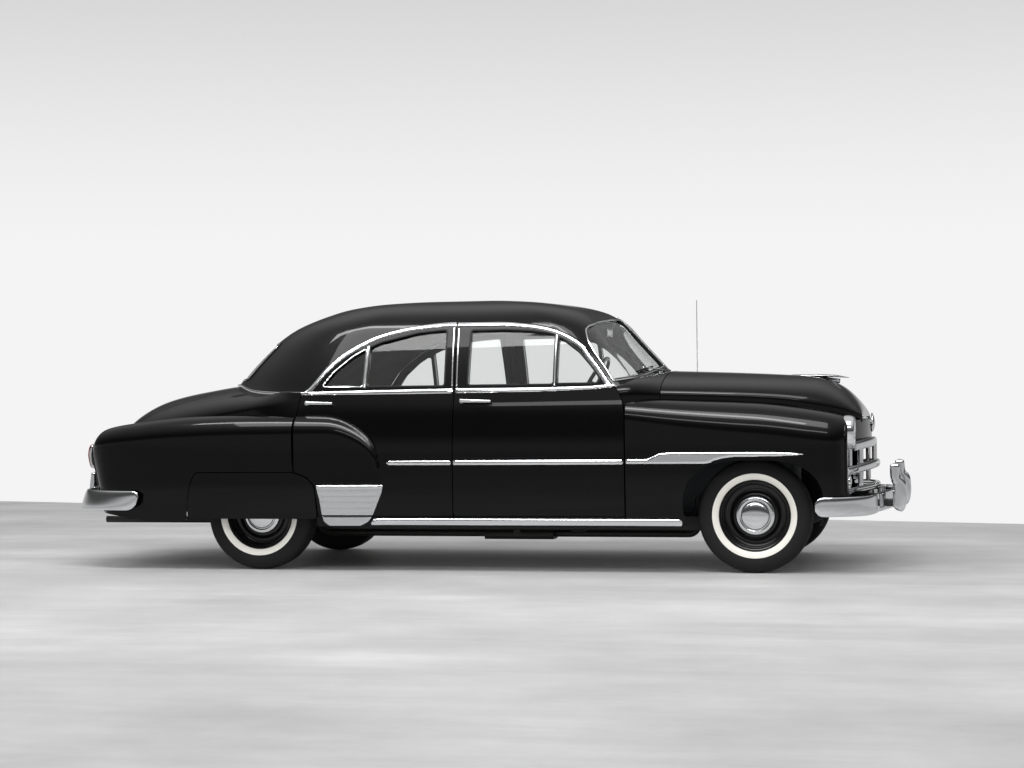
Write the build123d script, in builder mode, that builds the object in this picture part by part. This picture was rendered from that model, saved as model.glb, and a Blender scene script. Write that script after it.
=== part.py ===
"""A 1950s four-door sedan as an assembly: body shell, doors, lids, fenders, chassis, cabin and wheels.

Millimetres. +X is forwards, +Y is the car's left, +Z is up. The origin is on the floor,
midway along the overall length and on the centreline. Left-hand pieces are modelled and mirrored.
"""

import math
import os

from build123d import *

os.makedirs("parts", exist_ok=True)

# ------------------------------------------------------------------ driving dimensions
overall_length = 5022.0
wheelbase = 2921.0
front_overhang = 828.0
front_half_track = 720.0
rear_half_track = 746.0
panel_gap = 5.0  # open gap round every door and lid
seat_gap = 0.3  # clearance where one piece sits on another

front_axle_x = overall_length / 2 - front_overhang
rear_axle_x = front_axle_x - wheelbase

tyre_radius = 322.0
tyre_bead_radius = 196.0
hub_height = tyre_radius  # the wheels stand on the floor
rim_radius = tyre_bead_radius - seat_gap
rim_width = 134.0

sill_z = 262.0
belt_z = 1040.0
door_bottom_z = 322.0
door_wall = 68.0  # whole thickness of a door or body side
roof_wall = 38.0
rear_wall = 26.0  # thickness of the rear body and the trunk lid
sheet = 10.0  # thickness of a fender, hood or cowl pressing
glass_wall = 6.0
glass_inset = 14.0  # from the cabin's skin to the outside of its glass

fender_rear_x = 968.0  # rear edge of the front fenders
door_front_x = fender_rear_x - 8.0  # front edge of the front doors
post_x = door_front_x + panel_gap  # rear face of the firewall and the hinge posts
door_split_x = -38.0  # between front and rear doors
quarter_x = -984.0  # rear edge of the rear doors
hood_rear_x = 1146.0
rear_body_x = -1000.0  # where the lower cabin meets the rear body
deck_front_x = -1702.0  # rear edge of the panel ahead of the trunk lid
tail_x = -2388.0

floor_top_z = 316.0
floor_wall = 14.0
rear_floor_z = 480.0
frame_rail_height = 90.0
frame_rail_width = 70.0
frame_rail_y = 385.0  # centre of each rail
kingpin_y = 640.0

frame_top_z = floor_top_z - floor_wall - seat_gap
rear_frame_top_z = rear_floor_z - seat_gap


def plan_plane(z):
    """A horizontal sketch plane at height z."""
    return Plane.XY.offset(z)


def cross_plane(x):
    """A sketch plane across the car at x. Its local x is the car's Y and its local y is Z."""
    return Plane(origin=(x, 0, 0), x_dir=(0, 1, 0), z_dir=(1, 0, 0))


def side_plane(y):
    """A sketch plane along the car at y, seen from the right. Its local x is X and its local y is Z."""
    return Plane(origin=(0, y, 0), x_dir=(1, 0, 0), z_dir=(0, -1, 0))


def save(part, name):
    """Labels a finished piece and writes it."""
    part.label = name
    export_step(part, f"parts/{name}.step")


def save_pair(part, name):
    """Writes a left piece and its mirror image."""
    save(part, f"{name}_left")
    save(mirror(part, about=Plane.XZ), f"{name}_right")


# ------------------------------------------------------------------ cabin above the belt
# z, x of the windscreen centre, x of the rear, half width, front corner radius, rear corner radius
cabin_sections = [
    (belt_z, 1188, -1668, 838, 60, 560),
    (1210, 1035, -1535, 779, 60, 520),
    (1345, 912, -1395, 722, 70, 480),
    (1432, 835, -1240, 680, 90, 420),
    (1505, 716, -1035, 592, 110, 360),
    (1550, 540, -880, 470, 120, 300),
    (1578, 320, -690, 310, 100, 200),
    (1592, 90, -400, 140, 50, 90),
]
screen_sweep = 0.21  # how far a windscreen corner lies behind the centre, per half width


def cabin_solid(inset):
    """The cabin's outside, or with an inset its inside, lofted through plan outlines."""
    with BuildPart() as solid:
        for z, x_front, x_rear, half, r_front, r_rear in cabin_sections:
            h = half - inset
            xf = x_front - inset
            xr = x_rear + inset
            xc = xf - screen_sweep * h
            with BuildSketch(plan_plane(z - (inset if z > 1560 else 0))) as outline:
                with BuildLine():
                    Polyline((xf, 0), (xc, h), (xr, h), (xr, -h), (xc, -h), close=True)
                make_face()
                corners = outline.vertices().sort_by(Axis.X)
                fillet(corners[0:2], max(r_rear - inset, 20))
                fillet(outline.vertices().filter_by(lambda v: abs(v.X - xc) < 1), max(r_front - inset, 15))
        loft(ruled=True)
    return solid.part


# z, half width of the body side below the belt
side_sections = [
    (sill_z, 872),
    (450, 890),
    (700, 893),
    (900, 876),
    (belt_z, 838),
]


def side_solid(inset):
    """The lower cabin between the firewall and the rear body."""
    with BuildPart() as solid:
        for z, half in side_sections:
            h = half - inset
            with BuildSketch(plan_plane(z - (inset if z == sill_z else 0))):
                with BuildLine():
                    Polyline((post_x, -h), (post_x, h), (rear_body_x, h), (rear_body_x, -h), close=True)
                make_face()
        loft(ruled=True)
    return solid.part


# x, half width, height where the side turns over, height at the centre
rear_sections = [
    (rear_body_x, 858, 985, 1104),
    (-1230, 825, 950, 1108),
    (-1500, 790, 905, 1100),
    (-1800, 745, 850, 1062),
    (-2075, 690, 790, 1013),
    (-2250, 650, 725, 950),
    (-2345, 622, 650, 872),
    (tail_x, 600, 560, 760),
]


def arch_section(x, half, base_z, side_z, top_z):
    """A flat-bottomed arch with an elliptical crown, across the car at x."""
    with BuildSketch(cross_plane(x)) as section:
        with BuildLine():
            crown = EllipticalCenterArc((0, side_z), half, top_z - side_z, start_angle=0, arc_size=180)
            Polyline(crown @ 1, (-half, base_z), (half, base_z), crown @ 0)
        make_face()
    return section.sketch


def rear_solid(inset):
    """The rear body behind the cabin, from the quarter panels to the tail."""
    sections = []
    for x, half, side_z, top_z in rear_sections:
        shifted = x + (inset if x == tail_x else 0)
        sections.append(arch_section(shifted, half - inset, rear_floor_z + inset, side_z, top_z - inset))
    with BuildPart() as solid:
        loft(sections=sections, ruled=True)
    return solid.part


# ------------------------------------------------------------------ hood and cowl
# x, half width of the hood, height of the fender crown beside it, height at the centre
hood_sections = [
    (hood_rear_x, 716, 977, 1150),
    (1500, 655, 964, 1136),
    (1800, 590, 945, 1120),
    (2000, 540, 914, 1104),
    (2130, 500, 890, 1050),
    (2215, 462, 866, 975),
    (2268, 420, 852, 898),
]
hood_side = 22.0  # upright side of the hood above the fender
cowl_base_z = 930.0
cowl_sections = [(post_x, 742, 990, 1128), (hood_rear_x - panel_gap, 719, 984, 1150)]


def hood_solid(inset):
    """The hood's outside, or with an inset its inside, which is open below and at the back."""
    sections = []
    for x, half, crown_z, top_z in hood_sections:
        shifted = x - (inset if x > 2200 else 0)
        base_z = crown_z + panel_gap
        sections.append(arch_section(shifted, half - inset, base_z - inset, base_z + hood_side, top_z - inset))
    with BuildPart() as solid:
        loft(sections=sections, ruled=True)
    return solid.part


def cowl_solid(inset):
    """The cowl between the doors and the hood, under the windscreen."""
    sections = [
        arch_section(x, half - inset, cowl_base_z - inset, side_z, top_z - inset)
        for x, half, side_z, top_z in cowl_sections
    ]
    with BuildPart() as solid:
        loft(sections=sections, ruled=True)
    return solid.part


def box_between(x0, x1, y0, y1, z0, z1):
    """A box from its lowest to its highest corner."""
    with BuildPart() as block:
        with Locations(((x0 + x1) / 2, (y0 + y1) / 2, (z0 + z1) / 2)):
            Box(x1 - x0, y1 - y0, z1 - z0)
    return block.part


# ------------------------------------------------------------------ door outlines
# x, z on the skin, y of the skin there, and the way the opening widens outwards (x, z)
front_door_outline = [
    (door_front_x, door_bottom_z, 878, 0, -0.2),
    (door_split_x, door_bottom_z, 878, -1, -0.2),
    (door_split_x + 4, belt_z, 838, -1, 0),
    (door_split_x - 16, 1432, 680, -1, 1),
    (203, 1424, 684, 0, 1),
    (443, 1392, 700, 0.3, 1),
    (564, 1350, 718, 0.6, 0.8),
    (655, 1290, 745, 0.7, 0.7),
    (746, 1197, 783, 0.8, 0.6),
    (840, 1085, 820, 0.8, 0.6),
    (905, 1048, 836, 0.3, 0.3),
    (door_front_x, 965, 862, 0, 0),
]
rear_door_outline = [
    (door_split_x - panel_gap, door_bottom_z, 878, -1, -0.2),
    (-842, door_bottom_z, 878, 0, -0.2),
    (-858, 500, 890, 0, 0),
    (-905, 550, 892, 0, 0),
    (quarter_x, 580, 893, -0.2, 0),
    (quarter_x, 900, 876, -0.4, 0),
    (-958, 1026, 845, -0.5, 0),
    (-913, 1063, 830, -0.8, 0.6),
    (-814, 1184, 788, -0.8, 0.6),
    (-699, 1277, 752, -0.8, 0.6),
    (-522, 1366, 710, -0.6, 0.8),
    (-280, 1420, 686, -0.2, 1),
    (door_split_x - 20 - panel_gap, 1434, 680, -1, 1),
    (door_split_x + 4 - panel_gap, belt_z, 838, -1, 0),
]
door_draft = math.tan(math.radians(16))
prism_outer_y = 960.0
prism_inner_y = 560.0


def door_prism(outline, grow):
    """A tapered prism through the left side that cuts a door, or grown by the gap, its opening."""
    with BuildPart() as prism:
        for y in (prism_inner_y, prism_outer_y):
            with BuildSketch(side_plane(y)):
                points = [
                    (x + (y - skin) * door_draft * ox, z + (y - skin) * door_draft * oz)
                    for x, z, skin, ox, oz in outline
                ]
                with BuildLine():
                    Polyline(*points, close=True)
                make_face()
                if grow:
                    offset(amount=grow, kind=Kind.INTERSECTION)
        loft(ruled=True)
    return prism.part


# x, z of the window openings in the doors, seen from the side
front_door_windows = [
    [(22, 1074), (18, 1398), (200, 1394), (430, 1362), (541, 1320), (541, 1074)],
    [(561, 1074), (561, 1308), (640, 1254), (735, 1150), (790, 1080)],
]
rear_door_windows = [
    [(-100, 1074), (-112, 1400), (-285, 1384), (-505, 1332), (-570, 1304), (-570, 1074)],
    [(-592, 1074), (-592, 1294), (-668, 1250), (-775, 1160), (-838, 1076)],
]
window_corner = 14.0


def side_windows(outlines, shrink=0.0):
    """Prisms through the left side for a door's window openings or, shrunk, for their glass."""
    with BuildPart() as prisms:
        with BuildSketch(side_plane(prism_outer_y)) as openings:
            for points in outlines:
                with BuildLine():
                    Polyline(*points, close=True)
                make_face()
            fillet(openings.vertices(), window_corner)
            if shrink:
                offset(amount=-shrink, kind=Kind.INTERSECTION)
        extrude(amount=prism_outer_y - prism_inner_y)
    return prisms.part


# ------------------------------------------------------------------ rear fender pontoon
# x, height of the top, outermost y, radius of the upper corner
pontoon_sections = [
    (-471, 560, 896, 40),
    (-490, 690, 912, 60),
    (-560, 800, 924, 80),
    (-783, 900, 932, 100),
    (-1240, 914, 938, 120),
    (-1650, 904, 926, 120),
    (-2071, 862, 884, 110),
    (-2256, 818, 846, 100),
    (-2338, 742, 806, 90),
    (-2372, 650, 765, 70),
]
pontoon_inner_y = 600.0


def pontoon_solid(inset):
    """The left rear fender's outside, from its nose on the rear door to the tail lamp."""
    with BuildPart() as solid:
        for x, top_z, y_out, radius in pontoon_sections:
            shifted = x - (inset if x > -560 else 0) + (inset if x < -2300 else 0)
            with BuildSketch(cross_plane(shifted)) as outline:
                with BuildLine():
                    Polyline(
                        (pontoon_inner_y, sill_z - inset),
                        (pontoon_inner_y, top_z - inset),
                        (y_out - inset, top_z - inset),
                        (y_out - inset, 500),
                        (y_out - 26 - inset, sill_z - inset),
                        close=True,
                    )
                make_face()
                corner = outline.vertices().sort_by_distance((y_out - inset, top_z - inset))[0]
                fillet(corner, radius - inset)
        loft(ruled=True)
    return solid.part


# ------------------------------------------------------------------ front fender
# x, inner edge y, height of the crown, outermost y, crown radius
fender_flange = 40.0  # of the inner edge, under the hood
fender_sections = [
    (fender_rear_x, 742, 986, 893, 120),
    (1300, 695, 971, 905, 150),
    (front_axle_x, 616, 953, 915, 170),
    (1950, 552, 922, 908, 170),
    (2110, 508, 894, 886, 160),
    (2165, 486, 880, 855, 150),
    (2200, 468, 870, 812, 140),
]
fender_bottom_z = 272.0


def fender_solid(inset):
    """The left front fender's outside, or with an inset its inside, which is open below and inwards."""
    with BuildPart() as solid:
        for x, y_in, crown_z, y_out, radius in fender_sections:
            shifted = x - (inset if x > 2150 else 0)
            y_flange = y_in - fender_flange
            with BuildSketch(cross_plane(shifted)) as outline:
                with BuildLine():
                    Polyline(
                        (y_flange, fender_bottom_z - inset),
                        (y_flange, crown_z - inset),
                        (y_out - inset, crown_z - inset),
                        (y_out - inset, 560),
                        (y_out - 22 - inset, fender_bottom_z - inset),
                        close=True,
                    )
                make_face()
                corner = outline.vertices().sort_by_distance((y_out - inset, crown_z - inset))[0]
                fillet(corner, radius - inset)
        loft(ruled=True)
    return solid.part


def wheel_arch(axle_x, half_width, top_z, reach):
    """A prism through the left side that opens a wheel arch: straight sides under a flattened arc."""
    with BuildPart() as prism:
        with BuildSketch(side_plane(prism_outer_y)) as outline:
            with BuildLine():
                Polyline(
                    (axle_x - half_width, sill_z - 60),
                    (axle_x - half_width, top_z),
                    (axle_x + half_width, top_z),
                    (axle_x + half_width, sill_z - 60),
                    close=True,
                )
            make_face()
            fillet(outline.vertices().sort_by(Axis.Y)[-2:], half_width * 0.86)
        extrude(amount=reach)
    return prism.part


def cross_prism(points, x0, x1, shrink=0.0):
    """A prism along X between x0 and x1 whose outline is drawn across the car."""
    with BuildPart() as prism:
        with BuildSketch(cross_plane(x0)) as outline:
            with BuildLine():
                Polyline(*points, close=True)
            make_face()
            fillet(outline.vertices(), window_corner)
            if shrink:
                offset(amount=-shrink, kind=Kind.INTERSECTION)
        extrude(amount=x1 - x0)
    return prism.part


def side_prism(points, y0, y1):
    """A prism along Y between y0 and y1 whose outline is drawn from the side."""
    with BuildPart() as prism:
        with BuildSketch(side_plane(y1)):
            with BuildLine():
                Polyline(*points, close=True)
            make_face()
        extrude(amount=y1 - y0)
    return prism.part


def across(part):
    """The mirror image of a left piece."""
    return mirror(part, about=Plane.XZ)


# ------------------------------------------------------------------ places shared by several pieces
tunnel_half = 165.0
tunnel_z = 430.0
tunnel_rise = tunnel_z - floor_top_z
column_radius = 20.0
column_slope_deg = 30.0
steering_wheel_centre = (545, 350, 1065)
# the column's axis, pointing at the driver
column_axis = Plane(
    origin=steering_wheel_centre,
    x_dir=(0, 1, 0),
    z_dir=(-math.cos(math.radians(column_slope_deg)), 0, math.sin(math.radians(column_slope_deg))),
)

# ------------------------------------------------------------------ body shell
wheelhouse_half = 360.0
wheelhouse_inner_y = 640.0
wheelhouse_top_z = 690.0
firewall_wall = 20.0
pillar_wall = 36.0
pillar_x = (-98, 18)
pillar_top_z = 1466.0
pillar_gap = panel_gap + 1
lid_half = 520.0
lid_bottom_z = 600.0

# y, z of the left windscreen pane and of the rear window, seen along the car
screen_pane = [(16, 1182), (690, 1096), (600, 1396), (420, 1438), (16, 1462)]
rear_pane = [(-500, 1122), (500, 1122), (440, 1345), (-440, 1345)]

cabin_outer = cabin_solid(0)
cabin_inner = cabin_solid(roof_wall)
glass_outer = cabin_solid(glass_inset)
glass_inner = cabin_solid(glass_inset + glass_wall)
side_outer = side_solid(0)
side_inner = side_solid(door_wall)
rear_outer = rear_solid(0)
rear_inner = rear_solid(rear_wall)
cowl_outer = cowl_solid(0)
cowl_inner = cowl_solid(sheet)
front_opening = door_prism(front_door_outline, panel_gap)
rear_opening = door_prism(rear_door_outline, panel_gap)
screen_opening = cross_prism(screen_pane, 640, 1300)
rear_window_opening = cross_prism(rear_pane, -1760, -1200)
lid_opening = box_between(tail_x - 50, deck_front_x, -lid_half, lid_half, lid_bottom_z, 1200)
wheelhouse = box_between(
    rear_axle_x - wheelhouse_half, rear_axle_x + wheelhouse_half, wheelhouse_inner_y, 1000, 0, wheelhouse_top_z
)
wheelhouse_skin = box_between(
    rear_axle_x - wheelhouse_half - sheet,
    rear_axle_x + wheelhouse_half + sheet,
    wheelhouse_inner_y - sheet,
    1000,
    0,
    wheelhouse_top_z + sheet,
)

with BuildPart() as pillar:  # the left centre pillar, behind the edges of the two doors
    add(cabin_solid(roof_wall + pillar_gap))
    add(side_solid(door_wall + pillar_gap))
    add(cabin_solid(roof_wall + pillar_gap + pillar_wall), mode=Mode.SUBTRACT)
    add(side_solid(door_wall + pillar_gap + pillar_wall), mode=Mode.SUBTRACT)
    add(box_between(*pillar_x, 400, 900, floor_top_z + seat_gap, pillar_top_z), mode=Mode.INTERSECT)
    # its foot, which joins the sill, and its head, which joins the roof rail
    add(box_between(*pillar_x, 780, 803, sill_z + 30, floor_top_z + 30))
    add(box_between(*pillar_x, 780, 813, sill_z + 30, floor_top_z + 0.5))
with BuildPart() as pillar_head:
    add(cabin_solid(roof_wall - 12))
    add(cabin_solid(roof_wall + pillar_gap + 8), mode=Mode.SUBTRACT)
    add(box_between(*pillar_x, 400, 900, pillar_top_z - 20, pillar_top_z), mode=Mode.INTERSECT)

hinge_block = 40.0  # length of the blocks that carry doors and lids at their hinges

with BuildPart() as wheelhouse_walls:
    add(wheelhouse_skin)
    add(across(wheelhouse_skin))
    add(rear_outer, mode=Mode.INTERSECT)

with BuildPart() as whole_body:
    for outer in (cabin_outer, side_outer, rear_outer, cowl_outer):
        add(outer)
    add(box_between(hood_rear_x - panel_gap, 1300, -900, 900, 900, 1160), mode=Mode.SUBTRACT)
    for inner in (cabin_inner, side_inner, rear_inner, cowl_inner):
        add(inner, mode=Mode.SUBTRACT)
    add(wheelhouse_walls.part)
    for hollow in (wheelhouse, across(wheelhouse)):
        add(hollow, mode=Mode.SUBTRACT)
    for opening in (front_opening, rear_opening):
        add(opening, mode=Mode.SUBTRACT)
        add(across(opening), mode=Mode.SUBTRACT)
    for opening in (screen_opening, across(screen_opening), rear_window_opening, lid_opening):
        add(opening, mode=Mode.SUBTRACT)
    # the firewall, and the posts that carry the front doors inside the fenders
    add(box_between(post_x, post_x + firewall_wall, -850, 850, floor_top_z + seat_gap, 890))
    add(box_between(post_x, post_x + firewall_wall, -715, 715, 880, belt_z))
    for y0, y1 in ((780, 850), (-850, -780)):
        add(box_between(post_x, post_x + 55, y0, y1, sill_z + 20, 900))
    with Locations((post_x, 0, tunnel_z + seat_gap - tunnel_rise)):
        Box(100, 2 * (tunnel_half + seat_gap), 2 * tunnel_rise, mode=Mode.SUBTRACT)
    with Locations(column_axis):
        Cylinder(column_radius + seat_gap, 1500, mode=Mode.SUBTRACT)
    for piece in (pillar.part, pillar_head.part):
        add(piece)
        add(across(piece))
    # the shelf behind the rear seat
    add(box_between(-1560, -1160, -690, 690, 1052, 1064))
    # blocks at the hinges of the doors, the hood and the lid
    for side in (1, -1):
        for front_x in (door_front_x, door_split_x - panel_gap):
            with Locations((front_x - 60, side * 845, door_bottom_z - panel_gap / 2 - seat_gap)):
                Box(hinge_block, 30, panel_gap - seat_gap)
        with Locations((hood_rear_x - panel_gap / 2 - seat_gap / 2, side * 330, 1125)):
            Box(panel_gap - seat_gap, hinge_block, 12)
        with Locations((deck_front_x - panel_gap / 2 + seat_gap / 2, side * 330, 1042)):
            Box(panel_gap - seat_gap, hinge_block, 16)

# the body in two pieces, parted level through the pillars just above the belt
roof_split_z = 1070.0
with BuildPart() as body_shell:
    add(whole_body.part)
    add(box_between(-2600, 1400, -950, 950, roof_split_z, 1700), mode=Mode.SUBTRACT)
save(body_shell.part, "body_shell")
with BuildPart() as greenhouse:
    add(whole_body.part)
    add(box_between(-2600, 1400, -950, 950, 100, roof_split_z + seat_gap), mode=Mode.SUBTRACT)
save(greenhouse.part, "greenhouse")

# ------------------------------------------------------------------ doors, their glass and handles
# x of both ends of the pull handles, z, and y of the skin there
handles = {"front": (8, 186, 972, 862), "rear": (-924, -762, 962, 864)}
handle_reach = 34.0


def door_shell(outline, windows, handle, bulge):
    """A left door: the wall of the cabin inside its outline, with its windows cut and its handle on."""
    x0, x1, handle_z, skin_y = handle
    with BuildPart() as door:
        add(cabin_outer)
        add(side_outer)
        if bulge is not None:
            add(bulge)
        add(door_prism(outline, 0), mode=Mode.INTERSECT)
        add(cabin_inner, mode=Mode.SUBTRACT)
        add(side_inner, mode=Mode.SUBTRACT)
        add(side_windows(windows), mode=Mode.SUBTRACT)
        for x in (x0 + 12, x1 - 12):
            with Locations((x, skin_y + handle_reach / 2 - 8, handle_z)):
                Box(20, handle_reach + 16, 16)
        with Locations(((x0 + x1) / 2, skin_y + handle_reach, handle_z)):
            Box(x1 - x0, 10, 18)
    return door.part


def door_glass(windows):
    """The panes of a left door, set in its wall."""
    with BuildPart() as panes:
        add(glass_outer)
        add(glass_inner, mode=Mode.SUBTRACT)
        add(side_windows(windows, seat_gap), mode=Mode.INTERSECT)
    return panes.part


pontoon_outer = pontoon_solid(0)
save_pair(door_shell(front_door_outline, front_door_windows, handles["front"], None), "front_door")
save_pair(door_shell(rear_door_outline, rear_door_windows, handles["rear"], pontoon_outer), "rear_door")
save_pair(door_glass(front_door_windows), "front_door_glass")
save_pair(door_glass(rear_door_windows), "rear_door_glass")

# ------------------------------------------------------------------ fixed glass
with BuildPart() as screen_panes:
    pane = cross_prism(screen_pane, 640, 1300, seat_gap)
    add(pane)
    add(across(pane))
with BuildPart() as windshield:
    add(glass_outer)
    add(glass_inner, mode=Mode.SUBTRACT)
    add(screen_panes.part, mode=Mode.INTERSECT)
save(windshield.part, "windshield")

with BuildPart() as rear_window:
    add(glass_outer)
    add(glass_inner, mode=Mode.SUBTRACT)
    add(cross_prism(rear_pane, -1760, -1200, seat_gap), mode=Mode.INTERSECT)
save(rear_window.part, "rear_window")

# ------------------------------------------------------------------ hood and trunk lid
with BuildPart() as hood:
    add(hood_solid(0))
    add(hood_solid(sheet), mode=Mode.SUBTRACT)
    # the ornament along the hood's crest: its ends and its height
    with BuildSketch(side_plane(9)):
        with BuildLine():
            Polyline((1792, 1112), (1850, 1124), (2120, 1118), (2165, 1098), (2120, 1050), (1792, 1105), close=True)
        make_face()
    extrude(amount=18)
    add(hood_solid(sheet), mode=Mode.SUBTRACT)
save(hood.part, "hood")

with BuildPart() as trunk_lid:
    add(rear_outer)
    add(rear_inner, mode=Mode.SUBTRACT)
    add(
        box_between(
            tail_x - 50,
            deck_front_x - panel_gap,
            panel_gap - lid_half,
            lid_half - panel_gap,
            lid_bottom_z + panel_gap,
            1200,
        ),
        mode=Mode.INTERSECT,
    )
save(trunk_lid.part, "trunk_lid")

# ------------------------------------------------------------------ fenders
lamp_radius = 95.0
lamp_bucket_radius = 70.0
lamp_y = 690.0
lamp_z = 785.0
mouth_half = 745.0
mouth_bottom_z = 440.0
mouth_top_z = 712.0
mouth_corner = 120.0
fender_front_x = fender_sections[-1][0]

with BuildPart() as mouth:  # the opening that holds the grille
    with BuildSketch(cross_plane(fender_front_x - 60)):
        with Locations((0, (mouth_bottom_z + mouth_top_z) / 2)):
            RectangleRounded(2 * mouth_half, mouth_top_z - mouth_bottom_z, mouth_corner)
    extrude(amount=300)

with BuildPart() as front_fender:
    add(fender_solid(0))
    add(fender_solid(sheet), mode=Mode.SUBTRACT)
    add(cowl_outer, mode=Mode.SUBTRACT)
    add(wheel_arch(front_axle_x, 392, 636, 200), mode=Mode.SUBTRACT)
    add(mouth.part, mode=Mode.SUBTRACT)
    add(box_between(front_axle_x + 392, 2400, 600, 1000, 200, 400), mode=Mode.SUBTRACT)
    with Locations(Location((fender_front_x, lamp_y, lamp_z), (0, 90, 0))):
        Cylinder(lamp_bucket_radius + seat_gap, 60, mode=Mode.SUBTRACT)
save_pair(front_fender.part, "front_fender")

# x, z of the skirt over the rear wheel
skirt_outline = [
    (-849, 303),
    (-864, 498),
    (-909, 544),
    (-990, 574),
    (-1602, 574),
    (-1640, 480),
    (-1659, 303),
]


def skirt_prism(grow=0.0):
    """The skirt's outline carried through the left side."""
    with BuildPart() as prism:
        with BuildSketch(side_plane(prism_outer_y)):
            with BuildLine():
                Polyline(*skirt_outline, close=True)
            make_face()
            if grow:
                offset(amount=grow, kind=Kind.INTERSECTION)
        extrude(amount=prism_outer_y - 880)
    return prism.part


with BuildPart() as pontoon_sheet:
    add(pontoon_outer)
    add(pontoon_solid(sheet), mode=Mode.SUBTRACT)

with BuildPart() as rear_fender:
    add(pontoon_sheet.part)
    add(box_between(-2500, quarter_x, 500, 1000, 200, 1000), mode=Mode.INTERSECT)
    for cut in (rear_opening, side_outer, cabin_outer, rear_outer, skirt_prism(seat_gap)):
        add(cut, mode=Mode.SUBTRACT)
    add(box_between(rear_axle_x - 430, quarter_x + 150, 500, 1000, 200, 303), mode=Mode.SUBTRACT)
save_pair(rear_fender.part, "rear_fender")

with BuildPart() as rear_skirts:
    add(pontoon_sheet.part)
    add(skirt_prism(), mode=Mode.INTERSECT)
    mirror(about=Plane.XZ)
save(rear_skirts.part, "rear_skirts")

# ------------------------------------------------------------------ front panel and grille
panel_front_x = 2296.0  # at the centre
panel_side_x = 2202.0  # where it meets the fenders
panel_half = 466.0
panel_wall = 12.0


def bowed_bar(centre_x, side_x, half, depth, z0, z1):
    """A bar bowed forwards in plan, of constant depth, between two heights."""
    with BuildPart() as bar:
        with BuildSketch(plan_plane(z0)):
            with BuildLine():
                outer = ThreePointArc((side_x, -half), (centre_x, 0), (side_x, half))
                inner = ThreePointArc((side_x - depth, half), (centre_x - depth, 0), (side_x - depth, -half))
                Line(outer @ 1, inner @ 0)
                Line(inner @ 1, outer @ 0)
            make_face()
        extrude(amount=z1 - z0)
    return bar.part


with BuildPart() as front_panel:
    add(bowed_bar(panel_front_x, panel_side_x, panel_half, panel_wall, 385, 850))
    add(mouth.part, mode=Mode.SUBTRACT)
    # flanges that reach back to the fenders
    for y in (452, -452):
        with Locations((fender_front_x - 5, y, 780)):
            Box(30, 26, 130)
    for cut in (fender_solid(0), across(fender_solid(0))):
        add(cut, mode=Mode.SUBTRACT)
save(front_panel.part, "front_panel")

# x at the centre, x at the ends, half width, depth, lowest z, highest z of each grille bar
grille_bars = [
    (2322, 2240, 560, 30, 690, 710),
    (2341, 2200, 690, 34, 566, 602),
    (2345, 2172, 700, 30, 452, 474),
]
with BuildPart() as grille:
    for bar in grille_bars:
        add(bowed_bar(*bar))
    for y, ahead in ((-420, 40), (-140, 25), (140, 25), (420, 40)):
        # an upright behind the bars, and the tongue that holds it behind the front panel
        behind_x = panel_side_x + (panel_front_x - panel_side_x) * (1 - ((abs(y) + 8) / panel_half) ** 2)
        behind_x -= panel_wall + seat_gap
        add(box_between(behind_x - 30, behind_x + ahead + panel_wall, y - 8, y + 8, mouth_bottom_z + 1, mouth_top_z - 1))
        add(box_between(behind_x - 30, behind_x, y - 8, y + 8, mouth_bottom_z - 15, mouth_top_z + 15))
save(grille.part, "grille")

with BuildPart() as headlamps:
    for y in (lamp_y, -lamp_y):
        with Locations(Location((fender_front_x - 12, y, lamp_z), (0, 90, 0))):
            Cylinder(lamp_bucket_radius, 64)
        with Locations(Location((fender_front_x + seat_gap + 8, y, lamp_z), (0, 90, 0))):
            Cylinder(lamp_radius, 16)
save(headlamps.part, "headlamps")

tail_lamp_y = 702.0
fender_tail_x = pontoon_sections[-1][0]
with BuildPart() as taillamps:
    for y in (tail_lamp_y, -tail_lamp_y):
        with Locations((fender_tail_x - seat_gap - 15, y, 580)):
            Box(30, 66, 130)
    fillet(taillamps.edges().filter_by(Axis.X), 30)
save(taillamps.part, "taillamps")

# ------------------------------------------------------------------ bumpers
bumper_wall = 18.0


bumper_half = 938.0
bumper_corner_y = 560.0  # where the blade's elliptical corner starts


def bumper_blade(centre_x, corner_x, end_x, z0, z1):
    """A bumper blade: a shallow bow between two elliptical corners that run back along the fenders."""
    facing = 1 if centre_x > 0 else -1
    with BuildPart() as blade:
        with BuildSketch(plan_plane(z0)):
            for inset, mode in ((0, Mode.ADD), (bumper_wall, Mode.SUBTRACT)):
                wall = facing * inset
                reach = abs(corner_x - end_x) - inset
                rise = bumper_half - bumper_corner_y - inset
                with BuildLine():
                    ThreePointArc(
                        (corner_x - wall, -bumper_corner_y), (centre_x - wall, 0), (corner_x - wall, bumper_corner_y)
                    )
                    left = EllipticalCenterArc(
                        (end_x, bumper_corner_y), reach, rise, 90 - 90 * facing, arc_size=90 * facing
                    )
                    right = EllipticalCenterArc(
                        (end_x, -bumper_corner_y), reach, rise, 90 - 90 * facing, arc_size=-90 * facing
                    )
                    Line(left @ 1, right @ 1)
                make_face(mode=mode)
        extrude(amount=z1 - z0)
    return blade.part


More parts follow.
